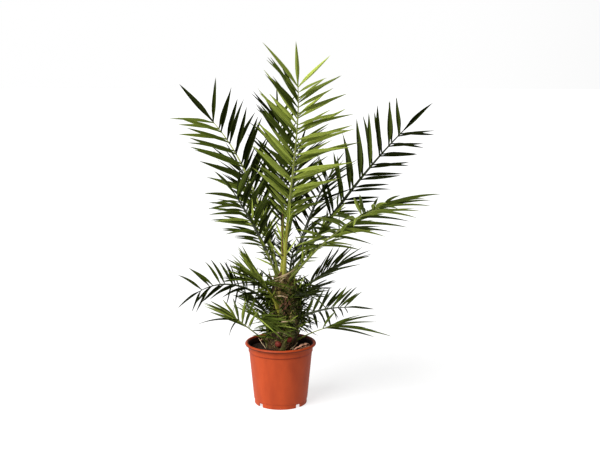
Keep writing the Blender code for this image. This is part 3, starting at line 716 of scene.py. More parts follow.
def streaked(name, colour, dark, pale, roughness, streaks, relief, edge=None):
    """Plant tissue with streaks that run along the piece, read from its own map.

    The map's first number runs along the piece and its second across it, so a noise drawn long
    in the first gives fibres. An edge colour shows where the second number comes near 1, as the
    papery margin of a sheath does.
    """
    made, tree = material_tree(name)
    body = own_map(tree)
    fibre = noise(tree, stretched(tree, body, (1.0, streaks, 1.0)), 0.16, 4.0, 0.6)
    tone = ramp(tree, fibre, (0.28, dark), (0.52, colour), (0.78, pale))
    if edge is not None:
        margin = ranged(tree, axis_of(tree, body, "Y"), 0.78, 0.96, 0.0, 0.85, "SMOOTHSTEP")
        tone = blend(tree, margin, tone, (*edge, 1.0))
    rough = bump(tree, fibre, 0.5, relief)
    return finished(
        made, {"Base Color": tone, "Roughness": roughness, "Specular IOR Level": 0.35, "Normal": rough}
    )


def palm_leaflet(name, colour):
    """A date palm's leaflet: leathery and lightly waxed, so it shines softly along its fold.

    Fine veins run its whole length, the keel in the fold is a little paler than the blade, and a
    pale margin outlines it.
    """
    made, tree = material_tree(name)
    body = own_map(tree)
    vein = noise(tree, stretched(tree, body, (0.8, 9.0, 1.0)), 1 / 3.0, 5.0, 0.6)
    deep = mixed(colour, BLACK, 0.45)
    tone = ramp(tree, vein, (0.28, deep), (0.48, colour), (0.76, paler(colour, 1.7)))
    across = axis_of(tree, body, "Y")
    keel = ranged(tree, across, 0.90, 1.0, 0.0, 0.55, "SMOOTHSTEP")
    keeled = blend(tree, keel, tone, (*paler(colour, 2.0), 1.0))
    margin = ranged(tree, across, 0.02, 0.26, 0.60, 0.0, "SMOOTHSTEP")
    edged = blend(tree, margin, keeled, (*paler(colour, 2.1), 1.0))
    waxed = {"Roughness": 0.46, "IOR": 1.42, "Specular IOR Level": 0.04}
    return finished(made, waxed | {"Base Color": edged, "Normal": bump(tree, vein, 0.35, 0.0003)})


def matt_paper(look):
    """Seamless background paper on a lit table: matt, pale, with a mottle too faint to see.

    The table's light fades towards the viewer's feet, so that it fills the plant's near side less.
    """
    made, tree = material_tree("matt_background_paper")
    place = own_place(tree)
    mottle = noise(tree, place, 1 / 3.0)
    colour = ramp(tree, mottle, (0.3, mixed(look.paper, BLACK, 0.02)), (0.7, look.paper))
    away = axis_of(tree, place, "Y")
    lit = ranged(tree, away, -2.2, -0.5, 0.1 * look.glow, look.glow, "SMOOTHSTEP")
    table = {"Emission Color": (1.0, 1.0, 1.0, 1.0), "Emission Strength": lit}
    return finished(made, table | {"Base Color": colour, "Roughness": 0.95, "Specular IOR Level": 0.1})


def mesh_piece(name, points, faces, material, maps=None, sharp=40.0):
    """A mesh object at the origin, smooth but for edges that turn by more than the sharp angle.

    maps gives each point its place along and across its body.
    """
    mesh = bpy.data.meshes.new(name)
    mesh.from_pydata(points, [], [face for group in faces for face in group.tolist()])
    mesh.update()
    mesh.polygons.foreach_set("use_smooth", np.ones(len(mesh.polygons), bool))
    mesh.set_sharp_from_angle(angle=math.radians(sharp))
    if maps is not None:
        corners = np.empty(len(mesh.loops), np.int32)
        mesh.loops.foreach_get("vertex_index", corners)
        layer = mesh.uv_layers.new(name="along_across")
        layer.data.foreach_set("uv", maps[corners].astype(np.float32).ravel())
    mesh.materials.append(material)
    made = bpy.data.objects.new(name, mesh)
    bpy.context.scene.collection.objects.link(made)
    return made


def palm_piece(made, nodes=()):
    """Hands a piece to the frame: it rides on the one body, and stands for the named solids."""
    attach(made, "root")
    if nodes:
        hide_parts(*nodes)


def lofted(rings):
    """Closed bodies from rings of points, shaped bodies x rings x points x 3.

    Quads join neighbouring rings, and a flat cap closes each end. Each ring turns anticlockwise
    as seen by someone whom the body grows towards, so the faces look outwards.
    """
    bodies, stations, around, _ = rings.shape
    index = np.arange(bodies * stations * around).reshape(bodies, stations, around)
    low = index[:, :-1]
    high = index[:, 1:]
    quads = np.stack([low, np.roll(low, -1, 2), np.roll(high, -1, 2), high], -1).reshape(-1, 4)
    caps = np.concatenate([index[:, 0, ::-1], index[:, -1]])
    return rings.reshape(-1, 3), [quads, caps]


def ringed_piece(name, rings, maps, finish, nodes=()):
    """One piece of closed bodies from rings of points."""
    points, faces = lofted(rings)
    palm_piece(mesh_piece(name, points, faces, finish, maps), nodes)


def ring_maps(stations, offsets, across):
    """Each point's place along its body, plus that body's offset, and its place across it."""
    along_body = stations[:, None] + offsets[:, None, None]
    return np.stack(np.broadcast_arrays(along_body, across), -1).reshape(-1, 2)


def swept_piece(name, rings, offsets, finish, nodes=()):
    """One piece of swept bodies, each with its own offset along it.

    The place across a body runs from 0 at a ring's first point to 1 half way round and back, so
    it has no seam.
    """
    _, stations, around, _ = rings.shape
    round_ring = 1.0 - np.abs(1.0 - 2.0 * np.arange(around) / around)
    maps = ring_maps(np.linspace(0, 1, stations), offsets, round_ring)
    ringed_piece(name, rings, maps, finish, nodes)


def unit(vectors):
    """The vectors at unit length."""
    return vectors / np.maximum(np.linalg.norm(vectors, axis=-1, keepdims=True), 1e-12)


def square_to(vectors, ahead):
    """The vectors without what runs along a direction, at unit length."""
    return unit(vectors - ahead * np.sum(vectors * ahead, -1, keepdims=True))


def bearing(turn, rise=0.0):
    """The unit vector that heads a turn round +Z and rises, both in radians."""
    level = np.cos(rise)
    parts = (level * np.cos(turn), level * np.sin(turn), np.sin(rise))
    return np.stack(np.broadcast_arrays(*parts), -1)


def swept(lines, half_width, half_depth, outward, sides, channel=0.0):
    """Rings carried along lines: ellipses of the given half width across and half depth outwards.

    lines is bodies x stations x 3. outward is the direction that the depth points in, made square
    to each line. A channel lowers the outer side's middle by that share of its depth, as a bell
    curve of the way across.
    """
    ahead = unit(np.gradient(lines, axis=1))
    out = square_to(outward, ahead)
    across = np.cross(out, ahead)
    angle = 2.0 * np.pi * np.arange(sides) / sides
    sunk = channel * (np.sin(angle) > 0) * np.exp(-((np.cos(angle) / 0.5) ** 2))
    width = np.broadcast_to(half_width, lines.shape[:2])[..., None, None] * np.cos(angle)[:, None]
    depth = np.broadcast_to(half_depth, lines.shape[:2])[..., None, None]
    depth = depth * (np.sin(angle) * (1.0 - sunk))[:, None]
    return lines[:, :, None] + across[:, :, None] * width + out[:, :, None] * depth


def smooth_line(points, stations):
    """A line through a few points: straight shares between them, then averaged into a curve."""
    points = np.asarray(points, float)
    place = np.linspace(0, len(points) - 1, stations + 8)
    line = np.stack([np.interp(place, np.arange(len(points)), points[:, k]) for k in range(3)], 1)
    kernel = np.ones(9) / 9.0
    return np.stack([np.convolve(line[:, k], kernel, "valid") for k in range(3)], 1)


def lean(height):
    """How far the trunk's axis stands to +X of the pot's at a height."""
    return np.interp(height, LEAN_HEIGHTS, LEAN_OFFSETS)


def off_axis(points):
    """The level way out to points from the trunk's axis."""
    height = points[..., 2]
    return points - np.stack([lean(height), 0 * height, height], -1)


def frond_path(row):
    """The rib as points: its rise falls from e0 to e1 as the share run, to the power BEND."""
    share = (np.arange(PATH_STEPS) + 0.5) / PATH_STEPS
    rise = np.radians(row["e0"] + (row["e1"] - row["e0"]) * share**BEND)
    steps = bearing(np.radians(row["az"] + row["turn"] * share), rise)
    foot = row["r"] * bearing(math.radians(row["seat"])) + (lean(row["z"]), 0.0, row["z"])
    return np.vstack([foot, foot + np.cumsum(steps, 0) * row["length"] / PATH_STEPS])


def along(points, share):
    """The points at shares of the way along a line, between its own in a straight run."""
    place = np.atleast_1d(share) * (len(points) - 1)
    low = np.clip(place.astype(int), 0, len(points) - 2)
    rest = (place - low)[:, None]
    return points[low] * (1.0 - rest) + points[low + 1] * rest


def rib_radius(row, share):
    """The rib's radius at shares of its length, less on small fronds."""
    size = 1.0 if row["length"] > LARGE_FROND else SMALL_FROND_SHARE
    return size * np.interp(share, RIB_PLACES, RIB_RADII)


def blade_axes(row, points, share):
    """The rib's heading, the blade's side and its upper normal at each share, after the roll."""
    ahead = unit(along(points, np.clip(share + 0.01, 0, 1)) - along(points, np.clip(share - 0.01, 0, 1)))
    normal = square_to(UP, ahead)
    side = np.cross(ahead, normal)
    roll = math.radians(row["roll"])
    turned_normal = normal * math.cos(roll) + side * math.sin(roll)
    turned_side = side * math.cos(roll) - normal * math.sin(roll)
    return ahead, turned_side, turned_normal


def leaf_line(leaf, share):
    """A leaflet's midline: straight on its heading, less a sag growing as the square of the way out."""
    share = np.atleast_1d(share)[:, None]
    drop = UP * leaf["sag"] * leaf["length"]
    return leaf["root"] + leaf["heading"] * leaf["length"] * share - drop * share**2


def rib_leaves(row, side, share, spread, vee, length, sag):
    """One side's leaflets, rooted at shares of the rib, with their angles in degrees."""
    points = frond_path(row)
    ahead, across, normal = blade_axes(row, points, share)
    columns = {
        "root": along(points, share), "ahead": ahead, "across": side * across, "normal": normal,
        "spread": spread, "vee": vee, "length": length,
    }
    shared = {"sag": sag, "side": side}
    return [dict(zip(columns, values)) | shared for values in zip(*columns.values())]


def leaflets(row, number, finer=False):
    """Leaflets in pairs up both sides of the rib, with seeded spread, and one at its tip.

    The finer ones stand half way between these, raised or lowered out of their plane.
    """
    random = np.random.RandomState(SEED * (3000 if finer else 1000) + number)
    count = row["n"] - finer
    k = np.arange(count)
    stagger = np.where(k % 2 == 0, 1.0, -1.0)
    place = k + (1.0 if finer else 0.5 + LEAF_PAIRING * stagger)
    raised = (FILL_VEE if finer else VEE_STAGGER) * stagger
    made = []
    for side, key in ((1, "l"), (-1, "r")):
        u = (place + random.uniform(-PLACE_SPREAD, PLACE_SPREAD, count)) / row["n"]
        share = row["bare"] + (1.0 - row["bare"]) * np.clip(u, 0.01, 0.985)
        spread = row["open_" + key] * (1.04 - row["close"] * u**2)
        spread = spread + random.uniform(-OPEN_SPREAD, OPEN_SPREAD, count)
        vee = row["vee"] + raised + random.uniform(-VEE_SPREAD, VEE_SPREAD, count)
        tip = row["tip_" + key]
        shares = (*LENGTH_SHARES, 0.35 + 0.65 * tip, tip)
        length = row["leaf_" + key] * np.interp(u, LENGTH_PLACES, shares)
        length = (FILL_SHARE if finer else 1.0) * length * random.uniform(*LENGTH_SPREAD, count)
        made += rib_leaves(row, side, share, spread, vee, length, row["sag"])
    if not finer:
        made += rib_leaves(row, 1, np.array([0.999]), [0.0], [0.0], [row["end"]], row["sag"])
        made[-1]["root"] = frond_path(row)[-1]
    return made


def aimed(leaf, more_spread, more_vee, size):
    """The leaflet with its heading worked out, opened or raised a little more and shortened."""
    spread = math.radians(leaf["spread"] + more_spread)
    vee = math.radians(leaf["vee"] + more_vee)
    outward = leaf["across"] * math.cos(vee) + leaf["normal"] * math.sin(vee)
    made = dict(leaf)
    made["heading"] = leaf["ahead"] * math.cos(spread) + outward * math.sin(spread)
    made["length"] = leaf["length"] * size
    made["width"] = LEAF_WIDTH_BASE + LEAF_WIDTH_SHARE * made["length"]
    return made


def segment_gaps(start, end, starts, ends):
    """Distance from one segment to each of many, from the closest points of their lines, clamped."""
    run = end - start
    runs = ends - starts
    between = start - starts
    a = run @ run
    e = np.maximum(np.sum(runs * runs, 1), 1e-12)
    b = runs @ run
    c = between @ run
    f = np.sum(runs * between, 1)
    spread = np.maximum(a * e - b * b, 1e-12)
    s = np.clip((b * f - c * e) / spread, 0, 1)
    t = np.clip((b * s + f) / e, 0, 1)
    s = np.clip((b * t - c) / a, 0, 1)
    apart = (start + run * s[:, None]) - (starts + runs * t[:, None])
    return np.linalg.norm(apart, axis=1)


def segments(line, halves, number):
    """A line's segments as rows: start, end, half width and the number of its frond."""
    return np.column_stack([line[:-1], line[1:], halves, np.full(len(halves), number)])


def leaf_segments(leaf, number):
    """A leaflet's segments, as wide as its blade there."""
    halves = leaf["width"] * np.array(SEGMENT_HALVES)
    return segments(leaf_line(leaf, SEGMENT_BREAKS), halves, number)


def clear_of_body(leaf):
    """Whether a leaflet stays off the trunk and above or outside the pot's rim."""
    line = leaf_line(leaf, np.linspace(0.15, 1.0, 12))
    half = 0.5 * leaf["width"]
    off_pot = np.hypot(line[:, 0], line[:, 1])
    off_trunk = np.hypot(line[:, 0] - lean(line[:, 2]), line[:, 1])
    trunk = np.interp(line[:, 2], TRUNK_HEIGHTS, TRUNK_RADII)
    in_trunk = (line[:, 2] < TRUNK_TOP + half) & (off_trunk < trunk + half + BODY_GAP)
    in_pot = (line[:, 2] < POT_HEIGHT + half + BODY_GAP) & (off_pot < RIM_RADIUS + half + BODY_GAP)
    return not (in_trunk.any() or in_pot.any())


def free_turn(leaf, number, taken):
    """The leaflet at the first size and turn that touches no other frond, or None."""
    others = taken[taken[:, 7] != number]
    room = FREE_GAP + others[:, 6]
    for size, turn in itertools.product(TRY_SIZES, TRY_TURNS):
        trial = aimed(leaf, *turn, size)
        if clear_of_body(trial) and all(
            (segment_gaps(own[:3], own[3:6], others[:, :3], others[:, 3:6]) > room + own[6]).all()
            for own in leaf_segments(trial, number)
        ):
            return trial
    return None


def stalk_leaflets(row, number):
    """Short stiff leaflets on the bare stalk, longer on the way out, turned every way round it."""
    random = np.random.RandomState(SEED * 5000 + number)
    low = row["length"] < LARGE_FROND
    gap, longest = (STALK_GAP, STALK_LONG) if low else (STALK_GAP_HIGH, STALK_LONG_HIGH)
    count = int(row["bare"] * row["length"] / gap)
    made = []
    for side in (1, -1):
        u = (np.arange(count) + random.uniform(0.1, 0.9, count)) / count
        share = row["bare"] * (STALK_FROM + (1.0 - STALK_FROM) * u)
        spread = random.uniform(*STALK_OPEN, count)
        vee = random.uniform(*STALK_VEE, count)
        length = (STALK_SHORT + (longest - STALK_SHORT) * u) * random.uniform(*STALK_SPREAD, count)
        made += rib_leaves(row, side, share, spread, vee, length, STALK_SAG)
    return made


def inner_leaflets():
    """Short leaflets of the inmost shoots, crossing round the trunk in a lattice darkened by painted
    shade.

    Their turns follow the golden angle, and their heights and headings are seeded.
    """
    random = np.random.RandomState(SEED + 71)
    turn = np.radians(GOLDEN_ANGLE * np.arange(INNER_COUNT))
    height = random.uniform(*INNER_HEIGHTS, INNER_COUNT)
    side = turn + np.radians(random.uniform(-INNER_ASIDE, INNER_ASIDE, INNER_COUNT))
    heading = bearing(side, np.radians(random.uniform(*INNER_RISE, INNER_COUNT)))
    roll = random.uniform(-INNER_ROLL, INNER_ROLL, INNER_COUNT)[:, None]
    across = unit(np.cross(heading, UP))
    normal = np.cross(across, heading) * np.cos(roll) + across * np.sin(roll)
    roots = around_trunk(turn, height, -INNER_SUNK)
    return short_leaflets(roots, heading, normal, random.uniform(*INNER_LENGTHS, INNER_COUNT))


def crossing_leaflets():
    """Leaflets that lie across the trunk's face and pass its edge, most of them rising.

    Their turns follow the golden angle. Each heads along the trunk's skin to one side, tilted
    up and outwards by seeded amounts, and faces away from the trunk.
    """
    random = np.random.RandomState(SEED + 73)
    turn = np.radians(GOLDEN_ANGLE * np.arange(CROSSING_COUNT))
    height = random.uniform(*CROSSING_HEIGHTS, CROSSING_COUNT)
    way = random.choice((-1.0, 1.0), CROSSING_COUNT)
    rise = np.radians(random.uniform(*CROSSING_RISE, CROSSING_COUNT))
    out = random.uniform(*CROSSING_OUT, CROSSING_COUNT)[:, None]
    radial = bearing(turn)
    aside = np.stack([-way * np.sin(turn), way * np.cos(turn), np.tan(rise)], -1)
    heading = unit(unit(aside) + out * radial)
    roots = around_trunk(turn, height, CROSSING_OFF)
    lengths = random.uniform(*CROSSING_LENGTHS, CROSSING_COUNT)
    return short_leaflets(roots, heading, square_to(radial, heading), lengths)


def slim_leaflets(row):
    """Slim leaflets low on one frond's stalk, that point on along it and away from it.

    Their turns round the stalk follow the golden angle, and each opens from the stalk's own
    direction by a seeded angle.
    """
    random = np.random.RandomState(SEED + 97 + len(row["name"]))
    path = frond_path(row)
    height = random.uniform(*SLIM_HEIGHTS, SLIM_COUNT)
    place = np.clip(np.argmax(path[None, :, 2] > height[:, None], axis=1), 1, len(path) - 2)
    ahead = unit(path[place + 1] - path[place - 1])
    across = unit(np.cross(ahead, np.array([0.0, 1.0, 0.1])))
    turn = np.radians(GOLDEN_ANGLE * np.arange(SLIM_COUNT) + random.uniform(0, 360))[:, None]
    aside = np.cos(turn) * across + np.sin(turn) * np.cross(across, ahead)
    opening = np.radians(random.uniform(*SLIM_OPEN, SLIM_COUNT))[:, None]
    heading = np.cos(opening) * ahead + np.sin(opening) * aside
    normal = np.cos(opening) * aside - np.sin(opening) * ahead
    return short_leaflets(path[place], heading, normal, random.uniform(*SLIM_LENGTHS, SLIM_COUNT))


def short_leaflets(roots, headings, normals, lengths):
    """Leaflets with the given roots, headings, normals and lengths, as wide as the solids' rule says."""
    return [
        {
            "root": root, "heading": heading, "normal": normal, "length": length,
            "width": LEAF_WIDTH_BASE + LEAF_WIDTH_SHARE * length, "sag": SHORT_SAG, "side": -1,
        }
        for root, heading, normal, length in zip(roots, headings, normals, lengths)
    ]


def placed_leaflets():
    """Every frond's leaflets and the finer ones between them, each kept to its own space.

    A leaflet that finds no free turn is left out. The frond's own are placed first, by the rule
    of the solids, so they fall where the solids' do.
    """
    taken = []
    for number, row in enumerate(ROWS):
        points = frond_path(row)[::2]
        halves = rib_radius(row, np.linspace(0, 1, len(points))[:-1])
        taken.append(segments(points, halves, number))
    taken = np.vstack(taken)
    numbered = list(enumerate(ROWS))
    kept = [[] for _ in ROWS]
    for wanted in (
        [leaflets(row, number) for number, row in numbered],
        [leaflets(row, number, True) if "finer" in row["more"] else [] for number, row in numbered],
        [stalk_leaflets(row, number) if "stalk" in row["more"] else [] for number, row in numbered],
    ):
        for number, leaves in enumerate(wanted):
            mine = [free_turn(leaf, number, taken) for leaf in leaves]
            mine = [leaf for leaf in mine if leaf is not None]
            kept[number] += mine
            taken = np.vstack([taken] + [leaf_segments(leaf, number) for leaf in mine])
    return kept


def blades(lines, across, width, twist, look):
    """Folded leaflets along lines of points, as rings of edge, groove, edge and keel.

    With s from 0 at the root to 1 at the tip, the half width is the full one times (1 - s to the
    taper) times a shoulder that rises smoothly from the root's share to 1. Each half stands up
    by the fold angle, which falls from the root's as (1 - s) cubed, and the section turns by the
    twist times (s - 0.2).
    """
    share = LEAF_STATIONS
    ahead = unit(np.gradient(lines, axis=1))
    side = square_to(across, ahead)
    upper = np.cross(ahead, side)
    turn = (twist[:, None] * (share - TWIST_FROM))[..., None]
    turned_side = side * np.cos(turn) + upper * np.sin(turn)
    turned_upper = upper * np.cos(turn) - side * np.sin(turn)
    rise = np.clip(share / LEAF_SHOULDER, 0, 1)
    shoulder = LEAF_ROOT_SHARE + (1.0 - LEAF_ROOT_SHARE) * rise * rise * (3.0 - 2.0 * rise)
    outline = (1.0 - share**LEAF_TAPER) * shoulder + LEAF_TIP_SHARE
    half = (0.5 * width[:, None] * outline)[..., None]
    fold = (look.fold + (look.root_fold - look.fold) * (1.0 - share) ** 3)[:, None]
    out = turned_side * half * np.cos(fold)
    up = turned_upper * half * np.sin(fold)
    keel = turned_upper * (look.thickness * (1.0 - KEEL_THINNING * share))[:, None]
    return np.stack([lines + out + up, lines, lines - out + up, lines - keel], 2)


def tint_of(look, tone):
    """The leaf colour for a tone from 0, painted shade, to 1, painted light, through the middle green at
    0.5.
    """
    if tone < 0.5:
        return mixed(tuple(look.painted_shade_green), tuple(look.middle), tone / 0.5)
    return mixed(tuple(look.middle), tuple(look.painted_light_green), (tone - 0.5) / 0.5)


def add_leaflets(look):
    """Deals each leaflet a tint by its frond's tone, which is painted light and shade, and joins those of
    one tint into a piece.

    A strap-like leaf follows the cubic curve through its four named points.
    """
    random = np.random.RandomState(SEED + 11)
    leaves = [(row, leaf) for row, mine in zip(ROWS, placed_leaflets()) for leaf in mine]
    leaves += [(FROND[INNER_LIKE], leaf) for leaf in inner_leaflets()]
    leaves += [(FROND[CROSSING_LIKE], leaf) for leaf in crossing_leaflets()]
    leaves += [(FROND[row["slim"]], leaf) for row in ROWS if row["slim"] for leaf in slim_leaflets(row)]
    keys = ("root", "heading", "normal", "length", "width", "sag")
    root, heading, normal, length, width, sag = (np.array([leaf[k] for _, leaf in leaves]) for k in keys)
    width = width * np.array([row["full"] for row, _ in leaves])
    # A frond side's tone paints its light or shade; the seeded spread is the leaflets' own random
    # variation.
    tone = np.array([row["light_r" if leaf["side"] < 0 else "light_l"] for row, leaf in leaves])
    tone = tone + random.uniform(-TONE_SPREAD, TONE_SPREAD, len(leaves)) * (TONE_EVEN + tone)
    twist = random.uniform(-1.0, 1.0, len(leaves)) * look.twist
    bow = random.uniform(-1.0, 1.0, len(leaves)) * look.bow
    across = unit(np.cross(normal, heading))[:, None]
    reach = (length[:, None] * LEAF_STATIONS)[..., None]
    fall = (sag[:, None] * length[:, None] * LEAF_STATIONS**2)[..., None] * UP
    bent = (bow[:, None] * LEAF_STATIONS)[..., None] * reach
    lines = root[:, None] + heading[:, None] * reach - fall + across * bent

    straps = np.array([points for _, _, *points in STRAP_LEAVES]) * MM
    powers = np.vander(np.linspace(0, 1, straps.shape[1]))
    straps = np.vander(LEAF_STATIONS, straps.shape[1]) @ np.linalg.solve(powers, straps)
    facing = unit(np.cross(off_axis(straps), np.gradient(straps, axis=1)))
    names = [row["name"] for row, _ in leaves] + [STRAP_LIKE] * len(straps)
    rings = blades(
        np.concatenate([lines, straps]),
        np.concatenate([np.broadcast_to(across, lines.shape), facing]),
        np.append(width, [MM * wide for wide, *_ in STRAP_LEAVES]),
        np.append(twist, np.full(len(straps), STRAP_TWIST * look.twist)),
        look,
    )
    tone = np.append(tone, [light for _, light, *_ in STRAP_LEAVES])
    steps = np.clip((tone * LEAF_TINTS).astype(int), 0, LEAF_TINTS - 1)
    for step in np.unique(steps):
        mine = np.flatnonzero(steps == step)
        finish = palm_leaflet(f"palm_leaflet_tint_{step + 1}", tint_of(look, (step + 0.5) / LEAF_TINTS))
        maps = ring_maps(LEAF_STATIONS, mine * 3.7, IN_FOLD)
        nodes = sorted({"frond_" + names[k] for k in mine})
        ringed_piece(f"leaflets_tint_{step + 1}", rings[mine], maps, finish, nodes)


def rib_rings(row, stalk):
    """One frond's bare stalk, or its rib beyond, as rings of points.

    Its width grows to the fourth power of the way up the stalk from the stalk's to the rib's.
    """
    share = np.linspace(0, 1, PATH_STEPS + 1)
    path = frond_path(row)
    out = np.clip(row["length"] * share - SHEATH_START, 0, None)
    flare = 1.0 + SHEATH_FLARE * np.exp(-((out / SHEATH_REACH) ** 2))
    ends = np.clip(share / row["bare"], 0, 1) ** 4
    widest = RIB_WIDTH if row["rib"] == "pale" else DARK_RIB_WIDTH
    radius = rib_radius(row, share) * (row["stalk_width"] * (1.0 - ends) + widest * ends)
    low, high = (0.0, row["bare"]) if stalk else (row["bare"], 1.0)
    place = np.linspace(low, high, RIB_STATIONS)
    width = np.interp(place, share, radius * flare)
    depth = RIB_DEPTH * np.interp(place, share, radius)
    upper = along(blade_axes(row, path, share)[2], place)
    return swept(along(path, place)[None], width, depth, upper[None], RIB_SIDES, RIB_CHANNEL)[0]


def add_ribs(look):
    """Petioles and ribs: the frond's path with its tapering radius, wider across than deep.

    A petiole has a channel along its upper side and flares into a sheath where it clasps the
    trunk: its width grows by a bell curve of the way out from the trunk.
    """
    # Dark stalks and ribs are painted shade, and bright stalks partly painted light, matching their
    # fronds' tones.
    for part, kind, tone in (
        ("stalk", "bright", look.petiole_bright),
        ("stalk", "olive", look.petiole_olive),
        ("stalk", "dark", look.petiole_dark),
        ("rib", "pale", look.rib),
        ("rib", "dark", look.rib_dark),
    ):
        mine = [k for k, row in enumerate(ROWS) if row[part] == kind]
        name = f"petioles_{kind}" if part == "stalk" else f"ribs_{kind}"
        dark = mixed(tone, BLACK, 0.45)
        finish = streaked(f"palm_{name}", tone, dark, mixed(tone, (1, 1, 0.6), 0.2), 0.45, 6.0, 0.0004)
        rings = np.array([rib_rings(ROWS[k], part == "stalk") for k in mine])
        nodes = ["frond_" + ROWS[k]["name"] for k in mine]
        swept_piece(name, rings, np.array(mine) * 2.3, finish, nodes)


def trunk_profile(height):
    """The trunk's radius at heights: the named radii, rounded by averaging over 24 mm."""
    near = np.asarray(height)[..., None] + np.linspace(-TRUNK_ROUND, TRUNK_ROUND, 9)
    return np.interp(near, (*TRUNK_HEIGHTS, TRUNK_TOP), (*TRUNK_RADII, 0.002)).mean(-1)


def around_trunk(turn, height, out):
    """Points a given way out from the trunk's surface, at a turn in radians and a height."""
    return round_axis(turn, height, trunk_profile(height) + out)


def round_axis(turn, height, reach):
    """Points at a turn in radians, a height, and a reach from the trunk's leaning axis."""
    place = (lean(height) + reach * np.cos(turn), reach * np.sin(turn), height)
    return np.stack(np.broadcast_arrays(*place), -1)


def add_trunk(look):
    """The trunk's body: leaf scars in a golden-angle spiral, with ridges of fibre between.

    A scar stands out more from its foot to its tip, and falls away to both sides as the square
    of the way across. The ridges are a sum of waves round the trunk that drift as they rise.
    """
    random = np.random.RandomState(SEED + 21)
    turn = 2.0 * np.pi * np.arange(TRUNK_COLUMNS) / TRUNK_COLUMNS
    height = np.linspace(TRUNK_HEIGHTS[0], TRUNK_TOP, TRUNK_ROWS)[:, None]
    relief = np.zeros((TRUNK_ROWS, TRUNK_COLUMNS))
    for k in range(BARK_SCALES):
        centre = BARK_LOW + (BARK_HIGH - BARK_LOW) * k / BARK_SCALES
        up = (height - centre) / SCAR_LENGTH + 0.5
        away = (turn - math.radians(GOLDEN_ANGLE * k) + np.pi) % (2.0 * np.pi) - np.pi
        sideways = away * trunk_profile(height) / (0.5 * look.scar_width * (1.15 - 0.5 * up))
        scar = np.clip(up, 0, 1) * (up < 1.0) * np.clip(1.0 - sideways**2, 0, 1)
        relief = np.maximum(relief, look.scale_out * scar)
    for waves, size in RIDGES:
        drift = random.uniform(*RIDGE_DRIFT)
        start = random.uniform(0, 6.28)
        relief = relief + size * np.sin(waves * turn + drift * height + start)
    fade = np.clip((TRUNK_TOP - height) / TRUNK_FADE, 0, 1)
    rings = around_trunk(turn, height, relief * fade)[None]
    ringed_piece("trunk_body", rings, None, matted_fibre(look), ["trunk"])


def base_places(count, first, low, high):
    """Turns and heights up the golden-angle spiral, left out where a petiole passes."""
    k = np.arange(count)
    height = low + (high - low) * (k + 0.5) / count
    turn = np.radians(GOLDEN_ANGLE * (k + first))
    spots = around_trunk(turn, height, 0.004)
    ribs = np.vstack([frond_path(row) for row in ROWS])
    free = np.linalg.norm(ribs - spots[:, None], axis=2).min(1) > BASE_FREE
    return turn[free], height[free]


def leaf_base_rings(turn, height, look, random):
    """Old leaf bases that clasp the trunk like overlapping sheaths and end in a cut stalk.

    Each is a dished sheet laid over the trunk's own curve. Its half width falls from foot to tip
    as the way up to the power 0.75, its thickness falls to the margins as the square of the way
    across, and its way out grows as the square of the way up. Lower bases lie outside upper ones.
    """
    share = np.linspace(0, 1, BASE_STATIONS)[:, None]
    across = np.concatenate([np.linspace(1, -1, BASE_OUTSIDE), np.linspace(-0.75, 0.75, BASE_INSIDE)])
    face = np.repeat([1.0, -0.5], [BASE_OUTSIDE, BASE_INSIDE])
    count = (len(turn), 1, 1)
    length = look.base_length * random.uniform(*BASE_LENGTHS, count)
    climb = height[:, None, None] + length * (share - BASE_BELOW)
    half = 0.5 * (look.base_width + (look.base_tip - look.base_width) * share**0.75)
    slant = random.uniform(*BASE_SLANTS, count) * share
    lower = np.clip((BARK_HIGH - height) / (BARK_HIGH - BARK_LOW), 0, 1)[:, None, None]
    lift = look.base_out * random.uniform(*BASE_LIFTS, count) * share**2
    thick = BASE_THIN + BASE_THICK * share**0.6
    out = BASE_THIN + BASE_LAYERS * lower + lift + thick * (1.0 - across**2) * face
    reach = trunk_profile(np.minimum(climb, HEART_Z)) + out
    around = turn[:, None, None] + slant + across * half / reach
    rings = round_axis(around, climb, reach)
    rings[..., 2] -= BASE_ARCH * length * across**2 * (1.0 - share)
    return rings, np.abs(across)


def add_leaf_bases(look):
    """Leaf bases in three tints, dealt out by a seeded draw, with papery margins."""
    random = np.random.RandomState(SEED + 31)
    turn, height = np.hstack([base_places(*spiral) for spiral in BASE_SPIRALS])
    rings, across = leaf_base_rings(turn, height, look, random)
    kinds = (
        ("green", look.base_green, 0.55, 0.40),
        ("tan", look.base_tan, 0.70, 0.20),
        ("brown", look.base_brown, 0.80, 0.40),
    )
    pick = random.choice(len(kinds), len(turn), p=[kind[3] for kind in kinds])
    for kind, (name, tone, roughness, _) in enumerate(kinds):
        mine = np.flatnonzero(pick == kind)
        dark = mixed(tone, look.shade, 0.75)
        edge = mixed(tone, look.dry, 0.55)
        pale = mixed(tone, look.dry, 0.25)
        finish = streaked(f"{name}_leaf_base", tone, dark, pale, roughness, 9.0, 0.0012, edge)
        maps = ring_maps(np.linspace(0, 1, BASE_STATIONS), mine * 1.9, across)
        ringed_piece(f"leaf_bases_{name}", rings[mine], maps, finish)


